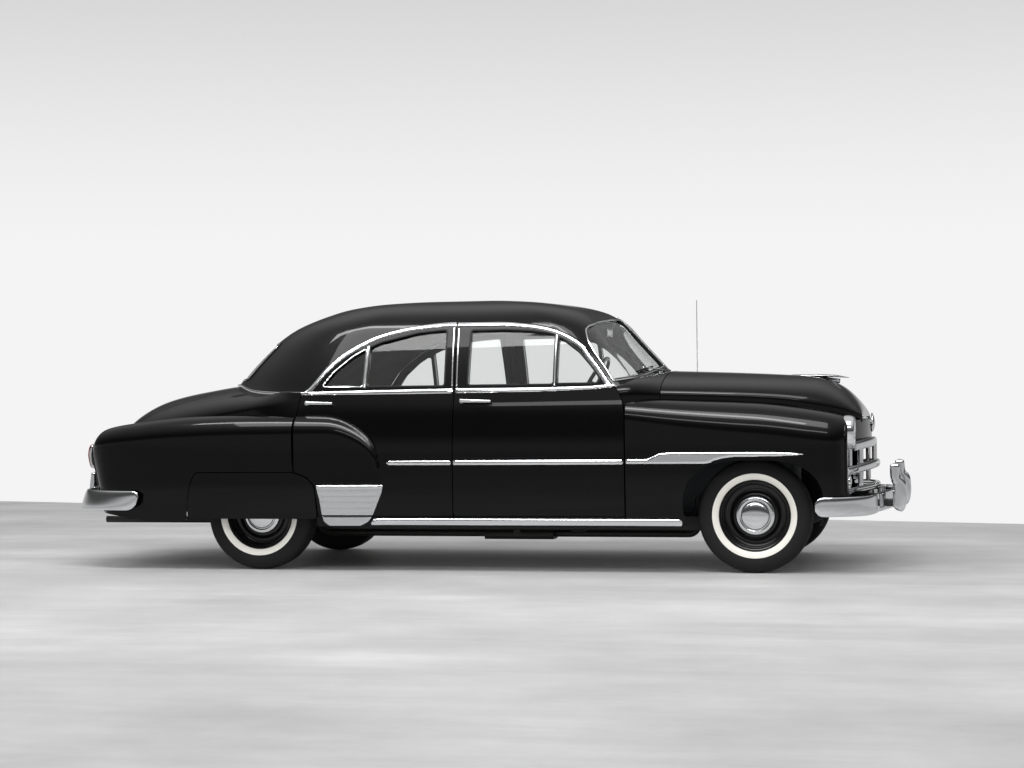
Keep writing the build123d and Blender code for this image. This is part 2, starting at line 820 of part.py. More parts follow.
front_blade = (2445, 2360, 2030, 325, 436)  # x at the centre, at the corners and at the ends, lowest z, highest z
rear_blade = (-2495, -2485, -1990, 345, 470)
plate_x = -2488.0
plate_wall = 6.0
plate_half = 115.0
plate_top_z = 560.0
plate_bolt_z = 540.0
plate_bolt_spacing = 177.8
plate_bolt_radius = 3.5
front_guard = [(2405, 336), (2480, 336), (2511, 440), (2502, 565), (2470, 601), (2440, 590), (2405, 450)]
rear_guard = [(-2475, 345), (-2500, 345), (-2511, 440), (-2502, 540), (-2485, 565), (-2472, 555), (-2472, 450)]
guard_half = 30.0
frame_front_x = 2290.0
jack_pad_x = 600.0
jack_pad_height = 8.0
frame_rear_x = -2318.0

with BuildPart() as front_bumper:
    add(bumper_blade(*front_blade))
    for y in (-frame_rail_y, frame_rail_y):
        add(side_prism(front_guard, y - guard_half, y + guard_half))
        add(box_between(frame_front_x + seat_gap, 2425, y - 20, y + 20, 252, 292))
        add(box_between(2385, 2420, y - 20, y + 20, 252, 340))
save(front_bumper.part, "front_bumper")

with BuildPart() as rear_bumper:
    add(bumper_blade(*rear_blade))
    for y in (-frame_rail_y, frame_rail_y):
        add(side_prism(rear_guard, y - guard_half, y + guard_half))
        add(box_between(-2480, frame_rear_x - seat_gap, y - 20, y + 20, 400, 450))
    # the licence plate's bracket, with its two bolt holes
    add(box_between(plate_x, plate_x + plate_wall, -plate_half, plate_half, rear_blade[4] - 10, plate_top_z))
    for y in (-plate_bolt_spacing / 2, plate_bolt_spacing / 2):
        with Locations(Location((plate_x, y, plate_bolt_z), (0, 90, 0))):
            Cylinder(plate_bolt_radius, 40, mode=Mode.SUBTRACT)
save(rear_bumper.part, "rear_bumper")

# ------------------------------------------------------------------ floor and frame
with BuildPart() as floor_pan:
    add(box_between(rear_body_x + 16, post_x - seat_gap, -803, 803, floor_top_z - floor_wall, floor_top_z))
    add(box_between(rear_body_x, rear_body_x + floor_wall, -629, 629, floor_top_z - floor_wall, rear_floor_z + 26))
    add(box_between(rear_body_x, rear_body_x + 20, -629, 629, floor_top_z - floor_wall, floor_top_z))
    # the tunnel over the driveshaft
    add(box_between(rear_body_x, 1010, -tunnel_half, tunnel_half, floor_top_z - floor_wall, tunnel_z))
    add(
        box_between(
            rear_body_x - 5,
            1020,
            floor_wall - tunnel_half,
            tunnel_half - floor_wall,
            200,
            tunnel_z - floor_wall,
        ),
        mode=Mode.SUBTRACT,
    )
    for side in (1, -1):
        # cut back round the rear wheelhouses and round the feet of the centre pillars
        with Locations((rear_axle_x, side * 850, floor_top_z)):
            Box(2 * (wheelhouse_half + sheet), 2 * (850 - wheelhouse_inner_y + sheet), 400, mode=Mode.SUBTRACT)
        with Locations(((pillar_x[0] + pillar_x[1]) / 2, side * 880, floor_top_z)):
            Box(pillar_x[1] - pillar_x[0] + 2 * seat_gap, 2 * (100 + seat_gap), 100, mode=Mode.SUBTRACT)
save(floor_pan.part, "floor_pan")

# x, z of the rails' upper edge, which rises over the rear axle
rail_top = [
    (frame_front_x, frame_top_z),
    (rear_body_x - 4, frame_top_z),
    (rear_body_x - 150, rear_frame_top_z),
    (frame_rear_x, rear_frame_top_z),
]
with BuildPart() as chassis_frame:
    rail_outline = rail_top + [(x, z - frame_rail_height) for x, z in reversed(rail_top)]
    for y in (-frame_rail_y, frame_rail_y):
        add(side_prism(rail_outline, y - frame_rail_width / 2, y + frame_rail_width / 2))
    for x, top_z in ((2240, frame_top_z), (700, 262), (-560, 262), (-1700, 475), (-2280, 475)):
        add(box_between(x - 35, x + 35, -frame_rail_y, frame_rail_y, top_z - 50, top_z))
    # jacking pads under the rails
    for y in (-frame_rail_y, frame_rail_y):
        with Locations((jack_pad_x, y, frame_top_z - frame_rail_height - jack_pad_height / 2)):
            Box(80, 60, jack_pad_height)
    # outriggers that carry the sills
    for x in (860, -300):
        for side in (1, -1):
            with Locations((x, side * 590, frame_top_z - 25)):
                Box(70, 400, 50)
save(chassis_frame.part, "chassis_frame")

# ------------------------------------------------------------------ engine, radiator, tank and exhaust
engine_bottom_z = frame_top_z + seat_gap + 8
with BuildPart() as engine:
    add(box_between(1100, 1860, -230, 230, engine_bottom_z, 860))
    add(box_between(1440, 1520, -(frame_rail_y + 20), frame_rail_y + 20, frame_top_z + seat_gap, engine_bottom_z + 30))
    add(box_between(800, 1110, -115, 115, engine_bottom_z, 405))
save(engine.part, "engine")

with BuildPart() as radiator:
    add(box_between(2030, 2090, -290, 290, frame_top_z + 20, 830))
    add(box_between(2040, 2080, -(frame_rail_y + 20), frame_rail_y + 20, frame_top_z + seat_gap, frame_top_z + 40))
save(radiator.part, "radiator")

with BuildPart() as fuel_tank:
    add(box_between(-2160, -1750, -240, 240, 305, rear_floor_z - seat_gap))
    fillet(fuel_tank.edges().filter_by(Axis.Z), 60)
save(fuel_tank.part, "fuel_tank")

exhaust_y = -300.0
exhaust_radius = 20.0
exhaust_low_z = 185.0
muffler_x = (20, 440)
with BuildPart() as exhaust:
    # x, z of the pipe's corners, from the engine to the outlet
    front_run = [(1300, 400), (1300, exhaust_low_z), (muffler_x[1] - 20, exhaust_low_z)]
    rear_run = [
        (muffler_x[0] + 20, exhaust_low_z),
        (-1005, exhaust_low_z),
        (-1130, 425),
        (-1420, 425),
        (-1620, 262),
        (-2440, 262),
    ]
    for run, bend in ((front_run, 60), (rear_run, 70)):
        with BuildLine() as route:
            FilletPolyline(*[(x, exhaust_y, z) for x, z in run], radius=bend)
        with BuildSketch(Plane(origin=route.line @ 0, z_dir=route.line % 0)):
            Circle(exhaust_radius)
        sweep(path=route.line)
    with BuildSketch(cross_plane(muffler_x[0])):
        with Locations((exhaust_y, 182)):
            RectangleRounded(150, 58, 28)
    extrude(amount=muffler_x[1] - muffler_x[0])
    hanger_top = frame_top_z - frame_rail_height - seat_gap
    add(box_between(200, 240, -frame_rail_y + 10, -frame_rail_y + 40, 190, hanger_top))
save(exhaust.part, "exhaust")

# ------------------------------------------------------------------ wheels and tyres
spindle_radius = 20.0
spindle_play = 0.05
rim_wall = 12.7
cap_radius = 112.0

# distance outwards from the wheel's middle plane, and radius, of the tyre's section
tyre_half_section = [(62, tyre_bead_radius), (84, 226), (89, 256), (84, 292), (72, 314), (60, tyre_radius)]


def revolved_about_hub(points, axle_x, middle_y):
    """A profile of (outwards, radius) points turned about a left wheel's axis."""
    with BuildPart() as turned:
        with BuildSketch(cross_plane(axle_x)):
            with BuildLine():
                Polyline(*[(middle_y + y, hub_height + r) for y, r in points], close=True)
            make_face()
        revolve(axis=Axis((axle_x, 0, hub_height), (0, 1, 0)))
    return turned.part


bore_radius = spindle_radius + spindle_play
inner_rim = rim_radius - rim_wall
wheel_profile = [
    (-45, bore_radius),
    (24, bore_radius),
    (24, 0),
    (56, 0),
    (53, 52),
    (43, 90),
    (24, cap_radius),
    (22, inner_rim),
    (rim_width / 2, inner_rim),
    (rim_width / 2, rim_radius),
    (-rim_width / 2, rim_radius),
    (-rim_width / 2, inner_rim),
    (10, inner_rim),
    (10, 45),
    (-45, 45),
]
tyre_profile = tyre_half_section + [(-y, r) for y, r in reversed(tyre_half_section)]
for end, axle_x, half_track in (("front", front_axle_x, front_half_track), ("rear", rear_axle_x, rear_half_track)):
    save_pair(revolved_about_hub(wheel_profile, axle_x, half_track), f"wheel_{end}")
    save_pair(revolved_about_hub(tyre_profile, axle_x, half_track), f"tyre_{end}")

# ------------------------------------------------------------------ front suspension and knuckles
kingpin_radius = 14.0
arm_levels = [(200, 228), (416, 444)]  # lowest and highest z of the lower and upper arms
with BuildPart() as front_suspension:
    add(box_between(front_axle_x - 70, front_axle_x + 70, -450, 450, 158, frame_top_z - frame_rail_height - seat_gap))
    for side in (1, -1):
        for z0, z1 in arm_levels:
            with BuildSketch(plan_plane(z0)):
                with BuildLine():
                    Polyline(
                        (front_axle_x - 60, side * 426),
                        (front_axle_x + 60, side * 426),
                        (front_axle_x + 24, side * (kingpin_y + 24)),
                        (front_axle_x - 24, side * (kingpin_y + 24)),
                        close=True,
                    )
                make_face()
            extrude(amount=z1 - z0)
        with Locations((front_axle_x, side * 438, (200 + arm_levels[1][1]) / 2)):
            Box(100, 26, arm_levels[1][1] - 200)
        with Locations((front_axle_x, side * kingpin_y, 300)):
            Cylinder(kingpin_radius + spindle_play, 500, mode=Mode.SUBTRACT)
save(front_suspension.part, "front_suspension")

with BuildPart() as knuckle:
    with BuildSketch(plan_plane(arm_levels[0][0] - 4)):
        with Locations((front_axle_x, kingpin_y)):
            Circle(kingpin_radius)
    extrude(amount=arm_levels[1][1] - arm_levels[0][0] + 8)
    upright_z0 = arm_levels[0][1] + 6
    upright_z1 = arm_levels[1][0] - 6
    add(box_between(front_axle_x - 30, front_axle_x + 30, kingpin_y - 24, kingpin_y + 20, upright_z0, upright_z1))
    with Locations(Location((front_axle_x, (kingpin_y + front_half_track + 18) / 2, hub_height), (90, 0, 0))):
        Cylinder(spindle_radius, front_half_track + 18 - kingpin_y)
save_pair(knuckle.part, "knuckle")

# ------------------------------------------------------------------ rear axle and springs
axle_tube_radius = 38.0
with BuildPart() as rear_axle:
    with Locations(Location((rear_axle_x, 0, hub_height), (90, 0, 0))):
        Cylinder(axle_tube_radius, 2 * (rear_half_track - 60))
        Cylinder(spindle_radius, 2 * (rear_half_track + 18))
        Cylinder(128, 150)
    # the driveshaft, which runs forwards to the gearbox
    with Locations(Location(((rear_axle_x + 800 - seat_gap) / 2, 0, hub_height + 14), (0, 90, 0))):
        Cylinder(34, 800 - seat_gap - rear_axle_x)
save(rear_axle.part, "rear_axle")

spring_y = frame_rail_y + frame_rail_width / 2 + 36
spring_top = hub_height - axle_tube_radius - seat_gap
# x, z of the leaf stack's outline
leaf_outline = [
    (-597, 297),
    (-1000, spring_top),
    (-1474, spring_top),
    (-1877, 352),
    (-1877, 338),
    (-1500, spring_top - 26),
    (-980, spring_top - 26),
    (-597, 283),
]
with BuildPart() as rear_springs:
    for side in (1, -1):
        leaf_y0 = side * spring_y - 28
        add(side_prism(leaf_outline, leaf_y0, leaf_y0 + 56))
        rail_face = frame_rail_y + frame_rail_width / 2 + seat_gap
        outer_y = spring_y + 28
        with Locations((-597, side * (rail_face + outer_y) / 2, 285)):
            Box(34, outer_y - rail_face, 34)
        with Locations((-1882, side * (rail_face + outer_y) / 2, 400)):
            Box(26, outer_y - rail_face, 130)
save(rear_springs.part, "rear_springs")

# ------------------------------------------------------------------ cabin
seat_half = 615.0
# x, z of each bench, seen from the side
front_bench = [(560, 440), (548, 590), (140, 562), (18, 1000), (-84, 1000), (-4, 440)]
rear_bench = [(-505, 440), (-492, 596), (-900, 566), (-1016, 1045), (-1120, 1045), (-1120, 528), (-968, 528), (-968, 440)]


def bench(outline, plinth):
    """A bench seat: cushion and back in one, on two plinths that stand on the floor."""
    x0, x1 = plinth
    with BuildPart() as seat:
        with BuildSketch(side_plane(seat_half)):
            with BuildLine():
                Polyline(*outline, close=True)
            make_face()
        extrude(amount=2 * seat_half)
        for side in (1, -1):
            with Locations(((x0 + x1) / 2, side * 420, (floor_top_z + seat_gap + 445) / 2)):
                Box(x1 - x0, 300, 445 - floor_top_z - seat_gap)
    return seat.part


save(bench(front_bench, (40, 500)), "front_seat")
save(bench(rear_bench, (-950, -560)), "rear_seat")

with BuildPart() as dash_top:
    add(box_between(872, 1110, -780, 780, belt_z + seat_gap, 1088))
    add(cabin_solid(roof_wall + 2), mode=Mode.INTERSECT)
with BuildPart() as dashboard:
    add(box_between(862, 944, -690, 690, 912, 1070))
    add(dash_top.part)
save(dashboard.part, "dashboard")

rim_ring_radius = 213.0
rim_tube_radius = 12.0
wheel_shaft_radius = 10.0
with BuildPart() as steering_column:
    with BuildSketch(column_axis.offset(-24)):
        Circle(column_radius)
    extrude(amount=-700)
    with BuildSketch(column_axis.offset(-30)):
        Circle(wheel_shaft_radius)
    extrude(amount=44)
save(steering_column.part, "steering_column")

with BuildPart() as steering_wheel:
    with BuildSketch(Plane(origin=column_axis.origin, x_dir=column_axis.x_dir, z_dir=column_axis.y_dir)) as ring:
        with Locations((rim_ring_radius, 0)):
            Circle(rim_tube_radius)
    revolve(axis=Axis(column_axis.origin, column_axis.z_dir))
    with BuildSketch(column_axis.offset(-18)):
        Circle(34)
    extrude(amount=40)
    with BuildSketch(column_axis.offset(-6)):
        Rectangle(2 * rim_ring_radius, 26)
    extrude(amount=12)
    with BuildSketch(column_axis.offset(-18)):
        Circle(wheel_shaft_radius + spindle_play)
    extrude(amount=34, mode=Mode.SUBTRACT)
save(steering_wheel.part, "steering_wheel")

# ------------------------------------------------------------------ antenna
antenna_x = 1163.0
antenna_y = 745.0
antenna_top_z = 1612.0
antenna_base_z = fender_sections[1][2]  # inside the fender's crown, which cuts it off
antenna_base_height = 24.0
with BuildPart() as antenna:
    with BuildSketch(plan_plane(antenna_base_z)):
        with Locations((antenna_x, antenna_y)):
            Circle(13)
    extrude(amount=antenna_base_height)
    with BuildSketch(plan_plane(antenna_base_z + antenna_base_height)):
        with Locations((antenna_x, antenna_y)):
            Circle(3)
    extrude(amount=antenna_top_z - antenna_base_z - antenna_base_height)
    for cut in (fender_solid(0), cowl_outer):
        add(cut, mode=Mode.SUBTRACT)
save(antenna.part, "antenna")
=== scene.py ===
# %% [markdown]
# # An early 1950s four-door sedan
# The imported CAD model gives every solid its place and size. This lesson dresses it: smooth painted sheet
# metal, bright trim, glass, rubber and cloth, each worked out from a few stated numbers in the same frame.
# Shapes are worked out in millimetres, as a body drawing gives them, and turned to metres when a mesh is
# made.

import bpy
import numpy as np
from mathutils import Matrix, Vector


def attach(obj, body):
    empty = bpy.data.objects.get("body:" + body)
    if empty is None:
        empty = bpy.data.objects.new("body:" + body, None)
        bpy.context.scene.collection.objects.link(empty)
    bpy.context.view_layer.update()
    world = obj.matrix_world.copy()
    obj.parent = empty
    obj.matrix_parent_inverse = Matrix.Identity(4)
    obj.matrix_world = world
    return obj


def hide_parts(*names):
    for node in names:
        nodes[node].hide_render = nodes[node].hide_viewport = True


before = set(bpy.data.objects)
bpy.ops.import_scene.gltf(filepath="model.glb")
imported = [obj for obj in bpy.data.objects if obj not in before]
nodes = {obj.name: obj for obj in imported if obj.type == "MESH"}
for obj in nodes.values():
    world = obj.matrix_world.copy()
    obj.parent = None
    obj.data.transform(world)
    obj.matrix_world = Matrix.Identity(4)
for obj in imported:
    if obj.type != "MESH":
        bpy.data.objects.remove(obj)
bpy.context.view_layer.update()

# %% [markdown]
# ## The camera
# A long lens twelve and a half metres from the middle of the car keeps the proportions true. The camera's
# three directions are worked out from a turn, a slight upward tilt and a slight roll, and become its
# matrix's columns.

# %% Place the camera
sensor_mm, focal_px, width_px = 36.0, 2025.46, 1024.0
turn, tilt, roll = np.radians((12.878, 0.410, 0.606))
look = np.array((-np.sin(turn) * np.cos(tilt), np.cos(turn) * np.cos(tilt), np.sin(tilt)))
level_right = np.array((np.cos(turn), np.sin(turn), 0.0))
level_down = np.cross(look, level_right)
right = np.cos(roll) * level_right + np.sin(roll) * level_down
down = -np.sin(roll) * level_right + np.cos(roll) * level_down
camera_data = bpy.data.cameras.new("camera")
camera_data.sensor_width = sensor_mm
camera_data.lens = sensor_mm * focal_px / width_px
camera_data.clip_end = 200.0
camera = bpy.data.objects.new("camera", camera_data)
bpy.context.scene.collection.objects.link(camera)
turned_to_look = Matrix(np.column_stack((right, -down, -look)).tolist()).to_4x4()
camera.matrix_world = Matrix.Translation((2.8960, -12.1669, 0.9943)) @ turned_to_look
bpy.context.scene.camera = camera
bpy.context.scene.view_settings.view_transform = "Standard"
print("lens", round(camera_data.lens, 2), "mm")

# %% [markdown]
# ## Materials
# One function adds a shader node with its settings and links, and one turns a hex colour, as a screen shows
# it, into the linear numbers that the renderer adds up. Each finish is named for what it is on the real car.

# %% Helpers for materials
def linear(hex_colour):
    """Each sRGB channel c becomes c/12.92 below 0.04045, and ((c + 0.055)/1.055)^2.4 above it."""
    c = np.array([int(hex_colour[i : i + 2], 16) for i in (1, 3, 5)]) / 255.0
    return tuple(np.where(c <= 0.04045, c / 12.92, ((c + 0.055) / 1.055) ** 2.4)) + (1.0,)


def add_node(tree, kind, settings=(), links=()):
    """Adds a node. Settings name a socket or property, and links join an input to another node's output."""
    new = tree.nodes.new(kind)
    for key, value in dict(settings).items():
        if isinstance(key, int) or key in new.inputs:
            new.inputs[key].default_value = value
        else:
            setattr(new, key, value)
    for key, output in dict(links).items():
        tree.links.new(output, new.inputs[key])
    return new


def shader_of(material):
    """The node that gives a material its surface."""
    return material.node_tree.nodes["Principled BSDF"]


def roughened(material, scale, bump, spread=0.0, detail=3.0):
    """A noise of scale waves per metre lifts the surface by bump metres and moves its roughness by spread."""
    tree, shader = material.node_tree, shader_of(material)
    place = add_node(tree, "ShaderNodeTexCoord").outputs["Object"]
    waves = {"Scale": scale, "Detail": detail}
    noise = add_node(tree, "ShaderNodeTexNoise", waves, {"Vector": place}).outputs["Fac"]
    lift = add_node(tree, "ShaderNodeBump", {"Distance": bump, "Strength": 1.0}, {"Height": noise})
    tree.links.new(lift.outputs["Normal"], shader.inputs["Normal"])
    if spread:
        rough = shader.inputs["Roughness"].default_value
        level = {"To Min": max(rough - spread, 0.0), "To Max": rough + spread}
        mapped = add_node(tree, "ShaderNodeMapRange", level, {"Value": noise})
        tree.links.new(mapped.outputs["Result"], shader.inputs["Roughness"])


def finish_named(name, slot, noise=(), **values):
    """A material with one Principled shader, whose sockets take the values given, and its noise if any."""
    material = bpy.data.materials.new(name)
    material.use_nodes = True
    for key, value in values.items():
        shown = linear(value) if isinstance(value, str) else value
        shader_of(material).inputs[key.replace("_", " ")].default_value = shown
    if noise:
        roughened(material, *noise)
    return material


# %% [markdown]
# Black body enamel was sprayed in several coats and rubbed down. The colour coat is almost without light of
# its own, and the clear gloss over it mirrors the room. A wave of a few tenths of a millimetre, a hand's
# width long, is what tells sprayed sheet metal from plastic, and fine dust shows as a faint unevenness of
# gloss.

# %% Enamels
enamel = finish_named(
    "body_enamel", "black_enamel", (9.0, 0.0004, 0.04, 2.0), Base_Color="#030303", Roughness=0.3,
    Specular_IOR_Level=0.05, Coat_Weight=1.0, Coat_Roughness=0.03, Coat_IOR=1.25,
)
wheel_enamel = finish_named(
    "wheel_enamel", "black_wheel_enamel", (60.0, 0.0001, 0.06), Base_Color="#080808", Roughness=0.3,
    Specular_IOR_Level=0.2, Coat_Weight=0.7, Coat_Roughness=0.1, Coat_IOR=1.35,
)
chassis_paint = finish_named(
    "chassis_paint", "chassis_black", (140.0, 0.0006, 0.12), Base_Color="#1B1B1B", Roughness=0.55
)
dash_paint = finish_named(
    "dash_enamel", "dash_enamel", (40.0, 0.0001, 0.05), Base_Color="#26282A", Roughness=0.3,
    Coat_Weight=0.6, Coat_Roughness=0.1,
)
print("enamels made")

# %% [markdown]
# Bright trim is chromium plate on steel or die-cast zinc. It has hardly any colour and mirrors the room;
# handling leaves faint cloudy marks, so its roughness varies a little over a few centimetres. The stone
# guards are pressed stainless steel, which is a shade darker and softer.

# %% Bright metals
chrome = finish_named(
    "chromium_plate", "chrome_plate", (25.0, 0.00005, 0.05),
    Base_Color="#D6D7D9", Metallic=1.0, Roughness=0.09,
)
stainless = finish_named(
    "stainless_pressing", "chrome_plate", (45.0, 0.00008, 0.06),
    Base_Color="#C3C4C6", Metallic=1.0, Roughness=0.2,
)
iron = finish_named("painted_cast_iron", None, (220.0, 0.001, 0.1), Base_Color="#3A4144", Roughness=0.6)
pipe_steel = finish_named(
    "exhaust_steel", None, (70.0, 0.0003, 0.15), Base_Color="#2E2C2A", Metallic=0.4, Roughness=0.5
)
print("metals made")

# %% [markdown]
# Glass is clear with a faint grey-green tint. Rubber is carbon black with a dull bloom. The narrow
# whitewalls are white rubber, a little yellowed and scuffed. Seats of the time wore a close striped wool
# broadcloth.

# %% Glass, rubber and cloth
window_glass = finish_named(
    "window_glass", "window_glass", Base_Color="#F4F6F5", Roughness=0.0, IOR=1.45, Transmission_Weight=1.0
)
lens_glass = finish_named(
    "lens_glass", "lamp_glass", Base_Color="#F2F4F4", Roughness=0.08, IOR=1.45, Transmission_Weight=0.85
)
red_lens = finish_named(
    "red_lens", "lamp_red", Base_Color="#8E0F12", Roughness=0.12, IOR=1.49, Transmission_Weight=0.4
)
rubber = finish_named(
    "tyre_rubber", "tyre_rubber", (300.0, 0.0004, 0.1),
    Base_Color="#121212", Roughness=0.75, Specular_IOR_Level=0.3,
)
white_rubber = finish_named(
    "whitewall_rubber", "tyre_rubber", (120.0, 0.0002, 0.1), Base_Color="#E6E4DC", Roughness=0.6
)


def woven(name, dark, light, thread, stripe):
    """Cloth: two crossed waves, one thread apart, lift it, and a wave of the stripe's pitch colours it."""
    material = finish_named(name, "seat_cloth", Roughness=0.9, Sheen_Weight=0.25)
    tree, shader = material.node_tree, shader_of(material)
    place = add_node(tree, "ShaderNodeTexCoord").outputs["Object"]

    def wave(scale, way):
        bands = {"Scale": scale, "bands_direction": way}
        return add_node(tree, "ShaderNodeTexWave", bands, {"Vector": place}).outputs["Fac"]

    warp, weft = wave(1.0 / (thread * np.pi), "Y"), wave(1.0 / (thread * np.pi), "X")
    both = add_node(tree, "ShaderNodeMath", {"operation": "ADD"}, {0: warp, 1: weft})
    lift = add_node(tree, "ShaderNodeBump", {"Distance": thread * 0.4}, {"Height": both.outputs["Value"]})
    colours = add_node(tree, "ShaderNodeMix", {"data_type": "RGBA"}, {"Factor": wave(0.3 / stripe, "Y")})
    colours.inputs["A"].default_value = linear(dark)
    colours.inputs["B"].default_value = linear(light)
    tree.links.new(colours.outputs["Result"], shader.inputs["Base Color"])
    tree.links.new(lift.outputs["Normal"], shader.inputs["Normal"])
    return material


# real threads are about 0.5 mm apart; they are drawn at 4 mm to show
broadcloth = woven("striped_broadcloth", "#5B5C5C", "#8A8B8A", 0.004, 0.03)
headlining = woven("headlining_cloth", "#8B8B87", "#92928E", 0.004, 0.05)
carpet = finish_named(
    "wool_carpet", "chassis_black", (700.0, 0.003), Base_Color="#3A3B3B", Roughness=1.0, Sheen_Weight=0.4
)
print("glass, rubber and cloth made")

# %% [markdown]
# ## Meshes from arrays
# Every new piece starts as a grid of points worked out with whole arrays. A shape is a pair of points and
# faces. These helpers join a grid into faces, cut it along a level line, give it a wall, and put it on its
# body.

# %% Grids and smooth rows
def grid_faces(rows, columns, around=False):
    """The four-sided faces of a grid of points, row after row. Around joins the last column to the first."""
    number = np.arange(rows * columns).reshape(rows, columns)
    if around:
        number = np.hstack((number, number[:, :1]))
    corners = (number[:-1, :-1], number[:-1, 1:], number[1:, 1:], number[1:, :-1])
    return np.stack(corners, axis=-1).reshape(-1, 4)


def smooth_rows(table, count, soften=0.0):
    """A smooth curve through rows of numbers, at evenly spaced places along it.

    Its slope at each row is the harmonic mean of the two runs beside it, or nothing where they disagree, so
    that it never overshoots. Then each value becomes the mean of its neighbours, weighted by a bell as wide
    as soften, in the table's own units along the curve, and the two ends stay where they are.
    """
    rows = np.asarray(table, float)
    run = np.linalg.norm(np.diff(rows, axis=0), axis=1)
    along = np.concatenate(([0.0], np.cumsum(run)))
    slopes = np.diff(rows, axis=0) / run[:, None]
    before, after = slopes[:-1], slopes[1:]
    agree = before * after > 0
    middle = np.where(agree, 2.0 * before * after / np.where(agree, before + after, 1.0), 0.0)
    tangent = np.vstack((slopes[:1], middle, slopes[-1:]))
    place = np.linspace(0.0, along[-1], count)
    piece = np.clip(np.searchsorted(along, place, "right") - 1, 0, len(run) - 1)
    t = ((place - along[piece]) / run[piece])[:, None]
    width = run[piece][:, None]
    curve = (2 * t**3 - 3 * t**2 + 1) * rows[piece] + (t**3 - 2 * t**2 + t) * width * tangent[piece]
    curve += (3 * t**2 - 2 * t**3) * rows[piece + 1] + (t**3 - t**2) * width * tangent[piece + 1]
    if soften > 0:
        reach = max(int(2.5 * soften * count / along[-1]), 1)
        bell = np.exp(-0.5 * (np.arange(-reach, reach + 1) / (soften * count / along[-1])) ** 2)
        head = 2 * curve[0] - curve[reach:0:-1]
        tail = 2 * curve[-1] - curve[-2 : -reach - 2 : -1]
        long_curve = np.vstack((head, curve, tail))
        curve = np.stack([np.convolve(c, bell / bell.sum(), "valid") for c in long_curve.T], axis=1)
    return curve


def length_along(line):
    """How far each point of a line lies from its start, measured along it."""
    return np.concatenate(([0.0], np.cumsum(np.linalg.norm(np.diff(line, axis=0), axis=1))))


def pairs_of(xs, zs):
    """Every pair of the two lists of numbers, row after row."""
    return (g.ravel() for g in np.meshgrid(xs, zs))


# %% Cutting a sheet along a level line
def triangles(faces):
    """Each four-sided face as two triangles."""
    faces = np.asarray(faces)
    if faces.shape[1] == 3:
        return faces
    return np.vstack((faces[:, (0, 1, 2)], faces[:, (0, 2, 3)]))


def without_spares(points, faces):
    """Only the points that a face uses, numbered again."""
    used, numbers = np.unique(faces, return_inverse=True)
    return points[used], numbers.reshape(faces.shape)


def trim(shape, level):
    """Keeps the side of a sheet where level, a number for each point, is above nothing.

    A side of a triangle that crosses the line gets a new point at the share level_a / (level_a - level_b) of
    it, so the cut follows the line as a drawn edge and not as a staircase.
    """
    points, tri = shape[0], triangles(shape[1])
    level = np.where(np.abs(level) < 1e-6, 1e-6, level)
    kept = level > 0
    count = kept[tri].sum(axis=1)
    lone, pair = tri[count == 1], tri[count == 2]
    turn_lone = (np.argmax(kept[lone], axis=1)[:, None] + np.arange(3)) % 3
    turn_pair = (np.argmin(kept[pair], axis=1)[:, None] + np.arange(3)) % 3
    lone = np.take_along_axis(lone, turn_lone, axis=1)
    pair = np.take_along_axis(pair, turn_pair, axis=1)
    sides = np.vstack((lone[:, (0, 1)], lone[:, (0, 2)], pair[:, (0, 1)], pair[:, (0, 2)]))
    if len(sides) == 0:
        return without_spares(points, tri[count == 3])
    ends, number = np.unique(np.sort(sides, axis=1), axis=0, return_inverse=True)
    number = number.reshape(-1) + len(points)
    a, b = level[ends[:, 0]], level[ends[:, 1]]
    cut = points[ends[:, 0]] + (points[ends[:, 1]] - points[ends[:, 0]]) * (a / (a - b))[:, None]
    lone_1, lone_2, pair_1, pair_2 = np.split(number, np.cumsum([len(lone), len(lone), len(pair)]))
    new = np.vstack(
        (
            np.stack((lone[:, 0], lone_1, lone_2), axis=1),
            np.stack((pair_1, pair[:, 1], pair[:, 2]), axis=1),
            np.stack((pair_1, pair[:, 2], pair_2), axis=1),
        )
    )
    return without_spares(np.vstack((points, cut)), np.vstack((tri[count == 3], new)))


def nearest(a, b, line):
    """The least distance from points (a, b) to an open line of points."""
    start, side = line[:-1], np.diff(line, axis=0)
    p = np.stack((a, b), axis=1)[:, None, :]
    share = np.clip(((p - start) * side).sum(-1) / np.maximum((side**2).sum(-1), 1e-9), 0, 1)
    return np.linalg.norm(p - start - share[..., None] * side, axis=-1).min(axis=1)


def inside_outline(a, b, outline):
    """How far the points (a, b) lie inside a closed outline; outside it the distance is negative.

    A point is inside if a level line from it crosses the outline an odd number of times.
    """
    closed = np.vstack((outline, outline[:1])).astype(float)
    start, end = closed[:-1], closed[1:]
    side = end - start
    a_to, b_to = a[:, None], b[:, None]
    crosses = (start[:, 1] > b_to) != (end[:, 1] > b_to)
    reach = start[:, 0] + (b_to - start[:, 1]) * side[:, 0] / np.where(side[:, 1] == 0, 1e-9, side[:, 1])
    odd = (crosses & (a_to < reach)).sum(axis=1) % 2
    return np.where(odd == 1, 1, -1) * nearest(a, b, closed)


def rounded(outline, radius, steps=6):
    """An outline with its corners cut round: parabolas from a radius before a corner to a radius after."""
    outline = np.asarray(outline, float)
    before, after = np.roll(outline, 1, axis=0) - outline, np.roll(outline, -1, axis=0) - outline
    long_b, long_a = np.linalg.norm(before, axis=1)[:, None], np.linalg.norm(after, axis=1)[:, None]
    start = outline + before / long_b * np.minimum(radius, long_b / 2)
    end = outline + after / long_a * np.minimum(radius, long_a / 2)
    t = np.linspace(0, 1, steps)[None, :, None]
    curve = (1 - t) ** 2 * start[:, None] + 2 * t * (1 - t) * outline[:, None] + t**2 * end[:, None]
    return curve.reshape(-1, 2)


